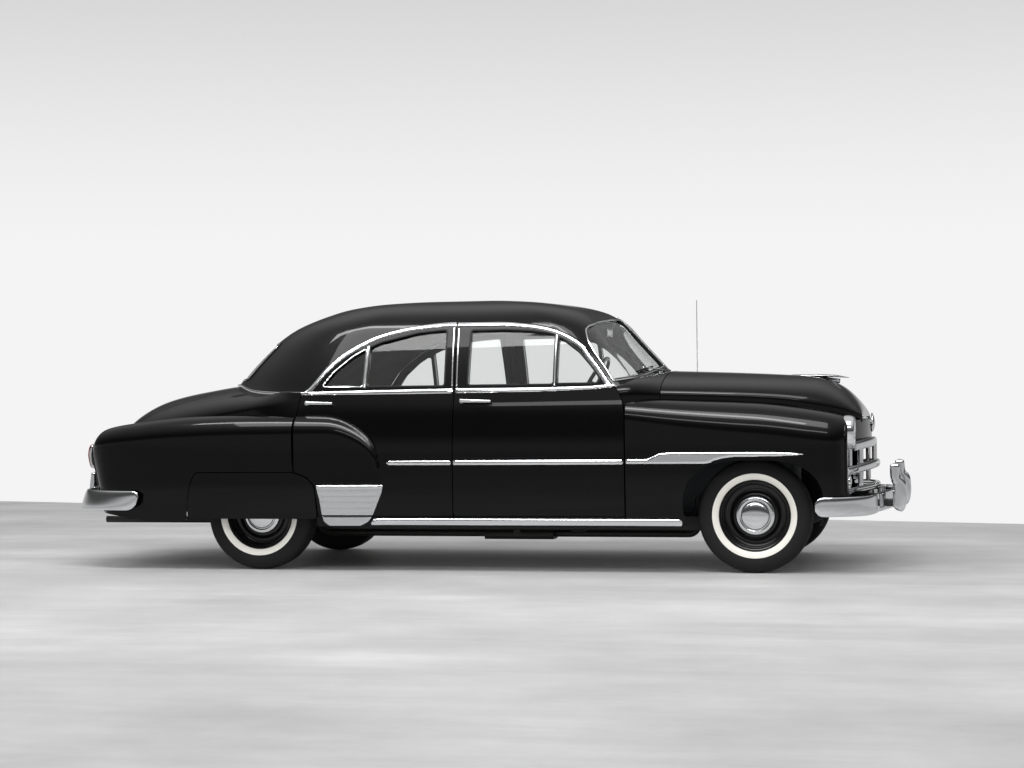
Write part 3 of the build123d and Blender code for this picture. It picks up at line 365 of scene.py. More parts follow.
# %% Walls, sides and placing
def point_normals(points, tri):
    """The direction out of the sheet at each point: its triangles' cross products added, made one long."""
    a, b, c = points[tri[:, 0]], points[tri[:, 1]], points[tri[:, 2]]
    cross = np.cross(b - a, c - a)
    total = np.zeros_like(points)
    for corner in range(3):
        total += np.stack([np.bincount(tri[:, corner], cross[:, i], len(points)) for i in range(3)], axis=1)
    return total / np.maximum(np.linalg.norm(total, axis=1), 1e-9)[:, None]


def facing(shape, towards):
    """The shape with its faces turned so that, taken together, they look the way that towards points."""
    points, faces = shape
    tri = triangles(faces)
    cross = np.cross(points[tri[:, 1]] - points[tri[:, 0]], points[tri[:, 2]] - points[tri[:, 0]])
    way = towards(points[tri].mean(axis=1)) if callable(towards) else np.asarray(towards, float)
    return points, faces if (cross * way).sum() > 0 else faces[:, ::-1]


# directions in the car's frame: leftwards for faces, and the same line across the car for bars
leftwards, across, upright = (0, 1, 0), (0, 1, 0), (0, 0, 1)


def away_from(x, y, z):
    """For facing(): the direction away from a point, for any point of a shape around it."""
    return lambda middle: middle - np.array((x, y, z), float)


def outwards(points, faces):
    """A closed shape whose faces look out of it: the sum of its triangles' triple products is positive."""
    tri = triangles(faces)
    a, b, c = (points[tri[:, i]] for i in range(3))
    return points, faces if (a * np.cross(b, c)).sum() > 0 else faces[:, ::-1]


def wall(shape, thickness, lift=0.0):
    """A closed sheet: the surface moved out by lift, the same one thickness further in, and a rim between.

    The rim joins each free side of the sheet, one that a single triangle uses, to its copy on the inside.
    """
    points, tri = shape[0], triangles(shape[1])
    normal = point_normals(points, tri)
    outer, inner = points + normal * lift, points + normal * (lift - thickness)
    sides = np.vstack((tri[:, (0, 1)], tri[:, (1, 2)], tri[:, (2, 0)]))
    _, first, count = np.unique(np.sort(sides, axis=1), axis=0, return_index=True, return_counts=True)
    near, far = sides[first[count == 1]].T
    n = len(points)
    rim = np.vstack((np.stack((far, near, near + n), axis=1), np.stack((far, near + n, far + n), axis=1)))
    return np.vstack((outer, inner)), np.vstack((tri, tri[:, ::-1] + n, rim))


def place(name, shape, material, body="body", stands_for=None, slot=None, crisp=35.0):
    """Makes the mesh, in metres, smooth but for edges sharper than crisp degrees, and rides it on a body."""
    mesh = bpy.data.meshes.new(name)
    mesh.from_pydata((np.asarray(shape[0], float) / 1000.0).tolist(), [], np.asarray(shape[1]).tolist())
    mesh.polygons.foreach_set("use_smooth", np.ones(len(mesh.polygons), bool))
    mesh.set_sharp_from_angle(angle=np.radians(crisp))
    mesh.update()
    piece = bpy.data.objects.new(name, mesh)
    bpy.context.scene.collection.objects.link(piece)
    mesh.materials.append(material)
    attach(piece, body)
    if stands_for:
        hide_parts(stands_for)
    return piece


def place_pair(name, shape, material, body="body", stands_for="", **how):
    """The left piece and its mirror image: y turned to minus y, and the faces turned to look outwards again.

    In stands_for, the name of the CAD node that they replace, {} is the side.
    """
    mirrored = np.asarray(shape[0]) * (1, -1, 1), np.asarray(shape[1])[:, ::-1]
    for side, one in (("left", shape), ("right", mirrored)):
        rides = body if body == "body" else body + "_" + side
        place(name + "_" + side, one, material, rides, stands_for.format(side), **how)


def joined(*shapes):
    """Several shapes as one."""
    starts = np.cumsum([0] + [len(points) for points, _ in shapes])
    faces = [triangles(faces) + start for (_, faces), start in zip(shapes, starts)]
    return np.vstack([points for points, _ in shapes]), np.vstack(faces)


print("mesh helpers ready")

# %% [markdown]
# ## The body's section, from sill to roof
# A body drawing gives a car's shape as sections. One table runs up the side of the cabin: at each height,
# how wide the body is, and where the windscreen's centre and the back of the cabin lie, with the radii of
# the plan's corners. A smooth curve through its rows keeps reflections running in one sweep, where flat
# strips would break them.

# %% The section table
# height, half width, x of the screen's centre, x of the back, front and rear corner radius in plan
upright_rows = [
    (262, 872, 1888, -2246, 60, 620),
    (450, 890, 1718, -2106, 60, 610),
    (700, 893, 1494, -1920, 60, 590),
    (900, 876, 1314, -1772, 60, 575),
    (1040, 838, 1188, -1640, 150, 800),
    (1210, 779, 1035, -1503, 200, 770),
    (1345, 722, 912, -1355, 220, 700),
    (1432, 680, 833, -1220, 240, 640),
    (1505, 592, 716, -1035, 250, 540),
    (1550, 470, 540, -880, 230, 420),
    (1578, 310, 320, -690, 180, 280),
    (1592, 140, 90, -400, 80, 120),
    (1595, 30, -110, -200, 14, 14),
]
section = smooth_rows(upright_rows, 420, 22.0)
screen_sweep = 0.21  # how far the screen runs back for each unit of width


def side_y(z):
    """Half the body's width at height z, read off the smooth section."""
    return np.interp(z, section[:, 0], section[:, 1])


def section_at(z):
    """A row of the section at any height."""
    return [np.interp(z, section[:, 0], section[:, i]) for i in range(6)]


def straight(a, b, count):
    """Evenly spaced points from a to b."""
    return np.linspace(np.array(a, float), np.array(b, float), count)


def plan_outline(row):
    """Left half of the cabin's plan at one height, from the screen's centre round to the middle of the back.

    The screen runs straight back by sweep times its width, a circle turns it into the straight side, and a
    second circle turns the side into the straight back. Each circle touches both of its lines.
    """
    z, half, front, back, r_front, r_rear = row
    r_rear = min(r_rear, half - 4)
    corner = front - screen_sweep * half
    slope = np.hypot(screen_sweep, 1.0)
    reach = r_front / np.tan((np.pi / 2 + np.arctan(screen_sweep)) / 2)
    start = (corner + reach * screen_sweep / slope, half - reach / slope)
    centre = (corner - reach, half - r_front)
    swing = np.linspace(np.arctan2(start[1] - centre[1], start[0] - centre[0]), np.pi / 2, 18)
    bend = np.stack((centre[0] + r_front * np.cos(swing), centre[1] + r_front * np.sin(swing)), axis=1)
    swing = np.linspace(np.pi / 2, np.pi, 44)
    rear = np.stack((back + r_rear + r_rear * np.cos(swing), half - r_rear + r_rear * np.sin(swing)), axis=1)
    screen = straight((front, 0), start, 30)
    side = straight((centre[0], half), (back + r_rear, half), 44)
    tail = straight((back, half - r_rear), (back, 0), 12)
    outline = np.vstack((screen, bend[1:], side[1:], rear[1:], tail[1:]))
    return np.column_stack((outline, np.full(len(outline), z)))


print("section: widest", round(section[:, 1].max() * 2), "mm, roof at", round(section[-1, 0]), "mm")

# %% [markdown]
# ## Doors, windows and the lines between panels
# The door edges, windows and lids are drawn once, as outlines in the side view or the view from the front. A
# panel is whatever part of a smooth sheet lies inside its outline, and its neighbour is what lies outside
# it, five millimetres away, so the gap between the two is even all the way round.

# %% Outlines
panel_gap = 5.0
sill_z, belt_z = 322, 1040
door_arc_points = [
    (-984, 900), (-958, 1026), (-913, 1066), (-814, 1187), (-699, 1280), (-522, 1369), (-280, 1424),
    (-58, 1441),
    (199, 1440), (381, 1424), (478, 1406), (551, 1384), (624, 1351), (701, 1300), (749, 1237), (797, 1179),
    (848, 1108), (882, 1066), (910, 1042), (944, 980), (960, 900),
]
door_arc = smooth_rows(door_arc_points, 170, 9.0)
split_bottom, split_belt, split_top = (-38, sill_z), (-34, belt_z), (-54, 1440)
front_arc, rear_arc = door_arc[door_arc[:, 0] > -56], door_arc[door_arc[:, 0] < -62]
front_door = np.vstack((front_arc, [(960, sill_z), split_bottom, split_belt, split_top]))
split_back = np.array([split_top, split_belt, split_bottom]) - (panel_gap, 0)
rear_bottom = [(-842, sill_z), (-858, 500), (-905, 550), (-984, 580)]
rear_door = np.vstack((rear_arc, split_back, rear_bottom))
vent_points = [
    (566, 1080), (561, 1347), (600, 1326), (676, 1270), (745, 1193), (800, 1121), (812, 1094), (794, 1080),
]
windows = {
    "front_main": rounded([(42, 1076), (36, 1394), (237, 1396), (386, 1387), (538, 1366), (543, 1076)], 16),
    "front_vent": rounded(vent_points, 12),
    "rear_main": rounded(
        [(-100, 1074), (-112, 1400), (-285, 1384), (-505, 1332), (-570, 1304), (-570, 1074)], 16
    ),
    "rear_quarter": rounded([(-592, 1074), (-592, 1294), (-668, 1250), (-775, 1160), (-838, 1076)], 14),
}
# along the plan from the centre, and height
screen_points = [
    (15, 1180), (364, 1137), (644, 1110), (768, 1101), (878, 1088), (851, 1134), (826, 1180), (794, 1244),
    (750, 1312), (703, 1360), (672, 1388), (615, 1411), (472, 1436), (188, 1459), (15, 1462),
]
screen_pane = rounded(screen_points, 14)
rear_pane = rounded([(-500, 1122), (-440, 1345), (440, 1345), (500, 1122)], 50)
print("outlines:", len(windows) + 4)

# %% [markdown]
# The roof, pillars and windscreen surround are one pressing. Its sheet is the whole cabin, ring upon ring up
# to the crown of the roof, and the doors, the windscreen and the rear window are then cut out of it.

# %% The roof and pillars
no_limit = 999.0  # stands for "far inside" where a cut doesn't apply
side_from, back_from = 540, -900  # the doors are cut where |y| is larger, the rear window where x is smaller
roof_rows = section[section[:, 0] >= 950][::7]
half_rings = np.stack([plan_outline(row) for row in roof_rows])
rings = np.concatenate((half_rings, (half_rings * (1, -1, 1))[:, -2:0:-1]), axis=1)
levels, around = rings.shape[:2]
half_gone = np.array([length_along(ring) for ring in half_rings])
gone = np.append(np.hstack((half_gone, half_gone[:, -2:0:-1])).ravel(), 0.0)
cabin = rings.reshape(-1, 3)
crown = np.arange((levels - 1) * around, levels * around)
top = np.stack((crown, np.roll(crown, -1), np.full(around, len(cabin))), axis=1)
cabin = np.vstack((cabin, cabin[crown].mean(axis=0) + (0, 0, 0.2)))
cabin_sheet = cabin, np.vstack((triangles(grid_faces(levels, around, around=True)), top))
cabin_sheet = facing(cabin_sheet, away_from(-200, 0, 1000))


def outside_doors(x, y, z, door):
    """How far each point of the car's sides lies outside a door's gap."""
    return np.where(np.abs(y) > side_from, -inside_outline(x, z, door) - panel_gap, no_limit)


def cabin_level(gap):
    """How far each point of the cabin lies inside the roof and pillars, with every opening larger by gap."""
    x, y, z = cabin.T
    doors = np.minimum(outside_doors(x, y, z, front_door), outside_doors(x, y, z, rear_door))
    screen = -inside_outline(gone, z, screen_pane)
    back = np.where(x < back_from, -inside_outline(y, z, rear_pane), no_limit)
    foot = z - np.where(x < back_from, 990.0, 1030.0)
    return np.min((doors, screen, back, foot), axis=0) - gap


def glass_level(x, y, z, behind):
    """How far each point lies inside its pane, the rear one or the screen's, and 8 mm more all round."""
    if behind:
        return np.where(x < back_from, inside_outline(y, z, rear_pane) + 8.0, -99.0)
    return np.minimum(inside_outline(gone, z, screen_pane) + 8.0, 900.0 - gone)


roof_sheet = trim(cabin_sheet, cabin_level(0.0))
place("roof_and_pillars", wall(roof_sheet, 20.0, lift=1.0), enamel, stands_for="greenhouse")
place("headlining", wall(trim(cabin_sheet, cabin_level(4.0)), 3.0, lift=-21.0), headlining)
for name, node, behind in (("screen_glass", "windshield", False), ("rear_glass", "rear_window", True)):
    pane = trim(cabin_sheet, glass_level(*cabin.T, behind))
    place(name, wall(pane, 5.0, lift=-6.0), window_glass, stands_for=node)
print("roof:", len(roof_sheet[1]), "triangles in its outer sheet")

# %% [markdown]
# A door's skin is a sheet over the side view: at each place (x, z) it stands out to the body's width at that
# height. The rear door also carries the nose of the rear fender, a swelling that dies away forwards. Where
# the two surfaces meet, a soft maximum rounds the inner corner, as the press does.

# %% Door skins with the fender's nose
# x, height of the fender's top, how far out it reaches, radius of its crown
pontoon_rows = [
    (-471, 560, 896, 40), (-490, 690, 912, 60), (-560, 800, 924, 80), (-783, 900, 932, 100),
    (-1240, 914, 936.5, 120), (-1650, 904, 926, 120), (-2060, 866, 886, 110), (-2226, 836, 850, 100),
    (-2290, 800, 815, 90), (-2326, 748, 780, 80),
]
pontoon = smooth_rows(pontoon_rows, 500, 30.0)[::-1]
pontoon = pontoon[np.argsort(pontoon[:, 0])]
skirt_tuck, front_tuck = 26.0, 22.0  # how far the fenders draw in from their knee to their foot


def pontoon_y(x, z):
    """How far out the rear fender stands: straight down from its crown's circle, and drawn in below z 500."""
    top, out, radius = (np.interp(x, pontoon[:, 0], pontoon[:, i]) for i in (1, 2, 3))
    above = np.clip((z - (top - radius)) / radius, 0.0, 1.0)
    y = out - radius + radius * np.sqrt(1.0 - above**2) - skirt_tuck * np.clip((500.0 - z) / 238.0, 0, 1)
    return np.where((z < top) & (x < -471), y, 0.0)


def soft_maximum(a, b, round_by):
    """The larger of two numbers, with the corner between them filled by up to a quarter of round_by."""
    near = np.clip(1.0 - np.abs(a - b) / round_by, 0.0, 1.0)
    return np.maximum(a, b) + near**2 * round_by / 4.0


def door_y(x, z):
    """The doors' left skin: the body's side or the fender's nose, whichever stands further out."""
    return soft_maximum(side_y(z), pontoon_y(x, z), 14.0)


def side_sheet(xs, zs):
    """A grid over the side view, standing out to the door's skin and facing left."""
    x, z = pairs_of(xs, zs)
    return facing((np.stack((x, door_y(x, z), z), axis=1), grid_faces(len(zs), len(xs))), leftwards)


def door_grid(span, step):
    """The side sheet behind a door, from below the sill to above the roof's edge."""
    return side_sheet(np.arange(span[0], span[1] + step, step), np.arange(312, 1450 + step, step))


door_thickness = 46.0
for end, outline, panes, span in (
    ("front", front_door, ("front_main", "front_vent"), (-70, 970)),
    ("rear", rear_door, ("rear_main", "rear_quarter"), (-1000, -30)),
):
    name, body = end + "_door_", "door_" + end
    grid = door_grid(span, 14.0)
    x, y, z = grid[0].T
    in_pane = np.max([inside_outline(x, z, windows[pane]) for pane in panes], axis=0)
    sheet = trim(grid, np.minimum(inside_outline(x, z, outline), -in_pane))
    place_pair(name + "skin", wall(sheet, door_thickness, lift=1.0), enamel, body, name + "{}")
    glass = wall(trim(grid, in_pane + 7.0), 4.0, lift=-14.0)
    place_pair(name + "glazing", glass, window_glass, body, name + "glass_{}")
    grid = door_grid(span, 24.0)
    x, y, z = grid[0].T
    card_level = np.min((inside_outline(x, z, outline) - 26.0, 1046.0 - z, z - 372.0), axis=0)
    place_pair(name + "card", wall(trim(grid, card_level), 5.0, lift=1.0 - door_thickness), broadcloth, body)
    print(name + "skin", len(sheet[1]), "triangles in its outer sheet")

grid = side_sheet(np.arange(-850, 976, 14.0), np.arange(262, 334, 14.0))
sill = trim(grid, np.minimum(317.0 - grid[0][:, 2], 962.0 - grid[0][:, 0]))
place_pair("sill_skin", wall(sill, 14.0, lift=0.8), enamel, stands_for="body_shell")

# %% [markdown]
# ## Deck, hood and cowl
# Across the car these three are all the same shape: an upright edge and an elliptical crown over it. A table
# gives the width, the height where the crown starts and the height of its middle at stations along the car,
# and a smooth curve through the stations carries the section. At the last stations the crown sinks, which
# rolls the sheet under.

# %% Crowned sheets
def crowned_sheet(rows, count, soften, base, across_count=49, fullness=2.0):
    """Station rows (x, half, side, top) as a sheet. From the edge (half, base) it rises straight to side.

    Then it follows half an ellipse: y = half cos a and z = side + (top - side) sin a, with a from 0 to 180
    degrees. Base is a height, or how far below side the edge lies if it is negative. A fullness over 2
    squares the ellipse up: the cosine and sine are raised to 2 / fullness.
    """
    x, half, side, top = (smooth_rows(rows, count, soften)[:, i : i + 1] for i in range(4))
    foot = side + base if base < 0 else np.full_like(side, base)
    rise = np.linspace(0, 1, 9)[:-1][None, :]
    angle = np.linspace(0, np.pi, across_count)[None, :]
    up = foot + (side - foot) * rise
    sideways = np.sign(np.cos(angle)) * np.abs(np.cos(angle)) ** (2 / fullness)
    y = np.hstack((half * np.ones_like(rise), half * sideways, -half * np.ones_like(rise)))
    z = np.hstack((up, side + (top - side) * np.abs(np.sin(angle)) ** (2 / fullness), up[:, ::-1]))
    points = np.stack((x * np.ones_like(y), y, z), axis=-1)
    return points.reshape(-1, 3), grid_faces(*y.shape)


deck_rows = [
    (-890, 872, 1000, 1100), (-1000, 858, 985, 1104), (-1230, 825, 950, 1108), (-1500, 780, 905, 1100),
    (-1800, 700, 850, 1062), (-2040, 600, 790, 1013), (-2210, 510, 720, 940), (-2310, 456, 645, 856),
    (-2368, 430, 560, 740), (-2384, 415, 530, 680), (-2390, 400, 515, 560), (-2390, 390, 505, 506),
]
points, faces = crowned_sheet(deck_rows, 105, 14.0, 480.0, 77)
x, y, z = points.T
# where the deck meets the doors its side becomes the body's side, over 330 mm
near_door = np.clip((x + 1330) / 330, 0, 1)
share = near_door**2 * (3 - 2 * near_door) * np.clip((1085 - z) / 40, 0, 1) * (np.abs(y) > 500)
points[:, 1] = np.sign(y) * (np.abs(y) + share * (side_y(z) - np.abs(y)))
grid = facing((points, faces), away_from(-1700, 0, 700))
x, y, z = points.T
cabin_plan = plan_outline(section[np.searchsorted(section[:, 0], 1060)])[:, :2]
cabin_plan = np.vstack((cabin_plan, (cabin_plan * (1, -1))[::-1]))
lid_half = [(-1702, 512), (-2060, 488), (-2255, 385), (-2700, 372)]
lid_plan = rounded([(-1702, -512), *lid_half] + [(x, -y) for x, y in lid_half[:0:-1]], 60)
lid_level = np.minimum(inside_outline(x, y, lid_plan), z - 600.0)
under_cabin = np.where(z > 1000, -inside_outline(x, y, cabin_plan) + 24.0, no_limit)
deck_level = np.min((-lid_level - panel_gap, under_cabin, outside_doors(x, y, z, rear_door)), axis=0)
deck, lid = trim(grid, deck_level), trim(grid, lid_level)
place("rear_deck", wall(deck, 8.0, lift=1.0), enamel, stands_for="body_shell")
place("trunk_lid_skin", wall(lid, 22.0, lift=1.0), enamel, "trunk", "trunk_lid")
print("deck and trunk lid:", len(deck[1]) + len(lid[1]), "triangles outside")

hood_rows = [
    (1146, 716, 1004, 1150), (1500, 655, 991, 1136), (1800, 590, 972, 1120), (2000, 540, 941, 1104),
    (2130, 500, 917, 1050), (2215, 462, 893, 975), (2262, 425, 876, 905), (2268, 415, 866, 884),
    (2262, 408, 860, 866),
]
grid = facing(crowned_sheet(hood_rows, 70, 12.0, -22.0, 65), away_from(1700, 0, 700))
place("hood_skin", wall(grid, 8.0), enamel, "hood_lid", "hood")
# the cowl is squarer beside the doors, where it meets the pillars, and takes the hood's section at its front
cowl_rows = [
    (868, 857, 982, 1118), (930, 856, 984, 1124), (975, 847, 987, 1129), (1050, 792, 994, 1139),
    (1141, 719, 1003, 1150),
]
fullness = np.interp(np.arange(44), (0, 13, 43), (3.4, 3.4, 2.0))[:, None]
grid = facing(crowned_sheet(cowl_rows, 44, 14.0, -90.0, 101, fullness), away_from(1000, 0, 700))
x, y, z = grid[0].T
level = np.where(np.abs(y) > side_from, -inside_outline(x, z, front_door) - panel_gap, x - 930.0)
place("cowl_skin", wall(trim(grid, level), 4.0, lift=1.0), enamel, stands_for="body_shell")
print("hood and cowl made")

# %% [markdown]
# ## Fenders
# A fender is a thinner shell: flat on top beside the hood, over a quarter circle to its side, and tucked in
# a little at the foot. Its end closes into a face that carries the lamp. Arches and doors are cut with
# outlines.

# %% Fender shells
def fender_shell(rows, count, soften, knee, foot, tuck, nose):
    """Station rows (x, inner y, top, outer y, radius) as a shell, closed at its last station.

    Each section runs from the inner edge out along the top, round a quarter circle of the radius, down to the
    knee height and in by tuck to the foot. At the last station the loop shrinks towards its middle, first
    round a quarter circle of the nose's radius and then flat, which closes the end.
    """
    x, inner, top, outer, radius = (smooth_rows(rows, count, soften)[:, i : i + 1] for i in range(5))
    t = np.linspace(0, 1, 9)[:-1][None, :]
    angle = np.linspace(np.pi / 2, 0, 14)[None, :]
    down_1, down_2 = np.linspace(0, 1, 17)[1:][None, :], np.linspace(0, 1, 12)[1:][None, :]
    flat = inner + (outer - radius - inner) * t
    y = np.hstack((flat, outer - radius + radius * np.cos(angle), outer + 0 * down_1))
    y = np.hstack((y, outer - tuck * down_2**1.5))
    side = top - radius
    z = np.hstack((top + 4 * np.sin(np.pi * t), side + radius * np.sin(angle), side + (knee - side) * down_1))
    z = np.hstack((z, knee + (foot - knee) * down_2 + 0 * x))
    points = np.stack((x * np.ones_like(y), y, z), axis=-1)
    shell = points.reshape(-1, 3), grid_faces(*y.shape)
    end = points[-1]
    end_x, end_y, end_z = end[0]
    back = straight((end_x, end_y, foot), (end_x, end_y, end_z), 20)[1:-1]
    low = straight(end[-1], (end_x, end_y, foot), 10)[1:]
    loop = np.vstack((end, low, back))
    middle = np.array((end_x, (end_y + end[:, 1].max()) / 2, (foot + end_z) / 2))
    size = np.linalg.norm(loop - middle, axis=1)[:, None]
    forwards = np.sign(x[-1, 0] - x[0, 0]) * np.array((nose, 0, 0))
    rings = []
    for a in np.linspace(0, np.pi / 2, 7):
        shrink = 1 - nose * (1 - np.cos(a)) / size
        rings.append(middle + (loop - middle) * shrink + forwards * np.sin(a))
    last = rings[-1]
    rings += [middle + forwards + (last - middle - forwards) * s for s in np.linspace(1, 0.002, 14)[1:]]
    cap = np.stack(rings)
    return welded(*joined(shell, (cap.reshape(-1, 3), grid_faces(len(cap), len(loop), around=True))))


def welded(points, faces):
    """Points that lie at the same place, to a twentieth of a millimetre, become one."""
    key = np.round(points / 0.05).astype(np.int64)
    _, first, number = np.unique(key, axis=0, return_index=True, return_inverse=True)
    tri = number.reshape(-1)[triangles(faces)]
    whole = (tri[:, 0] != tri[:, 1]) & (tri[:, 1] != tri[:, 2]) & (tri[:, 2] != tri[:, 0])
    return points[first], tri[whole]


fender_rows = [
    (968, 702, 986, 893, 120), (1300, 655, 971, 905, 150), (1683, 576, 953, 915, 170),
    (1950, 512, 922, 908, 170),
    (2110, 468, 894, 886, 160), (2165, 446, 880, 855, 150), (2186, 436, 873, 828, 145),
]
front_axle, rear_axle, hub = 1683.0, -1238.0, 322.0
arch_back, arch_front = front_axle - 392, front_axle + 392
arch = rounded([(arch_back, 150), (arch_back, 636), (arch_front, 636), (arch_front, 150)], 337, 24)
mouth = rounded([(-745, 440), (-745, 712), (745, 712), (745, 440)], 120, 16)
grid = fender_shell(fender_rows, 105, 20.0, knee=560.0, foot=272.0, tuck=front_tuck, nose=16.0)
grid = facing(grid, away_from(1600, 560, 560))
x, y, z = grid[0].T
in_mouth = np.where(x > 2120, -inside_outline(y, z, mouth), no_limit)
ahead = np.where(x > 2075, z - 400.0, no_limit)
fender = trim(grid, np.min((-inside_outline(x, z, arch), in_mouth, ahead), axis=0))
place_pair("front_fender_skin", wall(fender, 3.0), enamel, stands_for="front_fender_{}")
print("front fender:", len(fender[1]), "triangles outside")

skirt_points = [(-849, 303), (-864, 498), (-909, 544), (-990, 574), (-1602, 574), (-1640, 480), (-1659, 303)]
skirt = rounded(skirt_points, 24)
inner_edge = (640, 640, 640, 640, 545, 420, 360, 330)
rear_rows = [(r[0], inner, *r[1:]) for r, inner in zip(pontoon_rows[2:], inner_edge)]
grid = fender_shell(rear_rows, 130, 30.0, knee=500.0, foot=262.0, tuck=skirt_tuck, nose=12.0)
grid = facing(grid, away_from(-1500, 700, 500))
points = grid[0]
# the back leans forwards towards its foot, and the lower edge climbs behind the wheel
lean = 0.21 * np.clip(740.0 - points[:, 2], 0, 400)
points[:, 0] += lean * np.clip((-2060.0 - points[:, 0]) / 270, 0, 1) ** 2
x, y, z = points.T
foot_line = np.interp(x, (-2320, -2262, -2111, -1938, -1675, -1650), (352, 338, 315, 288, 293, 303))
outside = np.minimum(-inside_outline(x, z, rear_door), -inside_outline(x, z, skirt)) - panel_gap
below_door = np.where(x > -984, np.minimum(600.0 - z, -846.0 - x), no_limit)
fender = trim(grid, np.min((outside, z - foot_line, below_door), axis=0))
place_pair("rear_fender_skin", wall(fender, 3.0), enamel, stands_for="rear_fender_{}")
cover = trim(grid, np.minimum(inside_outline(x, z, skirt), z - 304.0))
place_pair("wheel_skirt", wall(cover, 3.0), enamel, stands_for="rear_skirts")
print("rear fender:", len(fender[1]), "triangles outside, skirt:", len(cover[1]))

# %% [markdown]
# ## Wheels and tyres
# Everything on a wheel is turned, so each piece is a profile of (outwards, radius) carried round the hub.
# The tyre is a bias-ply one: a tall round section, a flat ribbed tread with a zigzag cut, and a narrow white
# band moulded into its side. The cap is a pressed, plated dish with a raised ring, and its middle is left
# plain.

# %% Turned pieces
def turned(profile, centre=(0, 0, 0), count=96, closed=False):
    """A profile of (outwards, radius) round a hub: x = radius sin a, z = radius cos a and y = outwards."""
    profile = np.asarray(profile, float)
    angle = np.linspace(0, 2 * np.pi, count, endpoint=False)
    radius, out = profile[:, 1][:, None], profile[:, 0][:, None]
    points = np.stack((radius * np.sin(angle), out + 0 * angle, radius * np.cos(angle)), axis=-1)
    points = points.reshape(-1, 3) + np.asarray(centre, float)
    faces = grid_faces(len(profile), count, around=True)
    if closed:
        last = grid_faces(2, count, around=True)
        start = (len(profile) - 1) * count
        faces = np.vstack((faces, np.where(last >= count, last - count, last + start)))
    return points, faces


tyre_radius, tread_half = 322, 60


def away_from_ring(centre, radius):
    """For facing(): out of the tube that runs round a wheel's axle at the given radius."""

    def away(middle):
        spoke = (middle - np.array(centre)) * (1, 0, 1)
        return middle - np.array(centre) - radius * spoke / np.linalg.norm(spoke, axis=1)[:, None]

    return away


def tread(points, hub_centre, ribs=(-38, -13, 13, 38), zigzags=36.0, depth=6.0):
    """Cuts grooves: the radius drops by depth where a zigzag round the tyre meets a groove's place."""
    out = points[:, 1] - hub_centre[1]
    dx, dz = points[:, 0] - hub_centre[0], points[:, 2] - hub_centre[2]
    far = np.hypot(dx, dz)
    zigzag = 3.0 * (2.0 / np.pi) * np.arcsin(np.sin(np.arctan2(dx, dz) * zigzags))
    groove = np.min([np.abs(out + zigzag - rib) for rib in ribs], axis=0)
    cut = depth * np.clip(1.0 - (groove - 1.6) / 1.4, 0, 1) * (far > tyre_radius - 3.0)
    points[:, 0] -= dx / far * cut
    points[:, 2] -= dz / far * cut


tyre_side = [
    (60, 318), (72, 313), (80, 302), (86.5, 282), (88.8, 262), (88, 246), (84.5, 228), (78, 212),
    (68, 200.5), (62, 196.5),
]
ring_side = smooth_rows(tyre_side, 22, 4.0)
across_tread = np.linspace(-tread_half, tread_half, 49)
crown_line = np.stack((across_tread, tyre_radius - 4.0 * (np.abs(across_tread) / tread_half) ** 3), axis=1)
tyre_loop = np.vstack((crown_line, ring_side[1:], (ring_side[::-1] * (-1, 1))[:-1]))
rim_points = [
    (62, 195.4), (67, 195.4), (67, 188), (58, 184), (40, 184), (30, 172), (-30, 172), (-42, 184), (-67, 186),
    (-67, 195.4), (-60, 195.4), (-46, 191), (-38, 180), (-34, 176), (34, 176), (38, 180), (46, 190),
]
disc_rows = [(16, 178), (8, 166), (6, 150), (12, 136), (20, 126), (24, 112), (22, 100)]
disc_profile = smooth_rows(disc_rows, 18, 2.0)
hub_profile = smooth_rows([(22, 101), (10, 92), (-10, 84), (-30, 60), (-40, 40), (-44, 21)], 12, 2.0)
cap_rows = [
    (24, 112), (29, 112.5), (35, 108), (39, 100), (41, 92), (41, 87), (37, 85.5), (37, 83.5), (45, 81),
    (53, 74),
    (59, 60), (63, 40), (65, 18), (65.5, 0.2),
]
cap_profile = smooth_rows(cap_rows, 26, 1.0)
radii = np.linspace(238, 202.5, 10)
white_band = np.column_stack((np.interp(radii, ring_side[::-1, 1], ring_side[::-1, 0]), radii))
white_band[:, 0] += 1.2 * np.sin(np.pi * np.linspace(0, 1, 10)) ** 0.3
for end, axle_x, track in (("front", front_axle, 720.0), ("rear", rear_axle, 746.0)):
    hub_centre, body = (axle_x, track, hub), "road_wheel_" + end

    def dished(profile, count, thickness):
        """A turned sheet on this wheel with a wall behind it."""
        return wall(facing(turned(profile, hub_centre, count), leftwards), thickness)

    points, faces = turned(tyre_loop, hub_centre, 144, closed=True)
    tread(points, hub_centre)
    tyre = facing((points, faces), away_from_ring(hub_centre, 262.0))
    place_pair("tyre_" + end, tyre, rubber, body, f"tyre_{end}_{{}}", crisp=40)
    place_pair("whitewall_" + end, dished(white_band, 96, 2.0), white_rubber, body)
    rim = outwards(*turned(rounded(rim_points, 4, 2), hub_centre, 64, closed=True))
    wheel = joined(rim, dished(disc_profile, 64, 4.0), dished(hub_profile, 48, 4.0))
    place_pair("wheel_" + end, wheel, wheel_enamel, body, f"wheel_{end}_{{}}")
    place_pair("hub_cap_" + end, dished(cap_profile, 72, 1.5), chrome, body, crisp=60)
print("wheels made")

# %% [markdown]
# ## Bumpers and guards
# A bumper is a plated pressing, drawn as a blade with a flat oval section that keeps the same height as it
# bows across the car and turns the corners. Its section is carried along a plan curve. The guards stand on
# it, are deeper than the blade, and are rounded off at their ends.

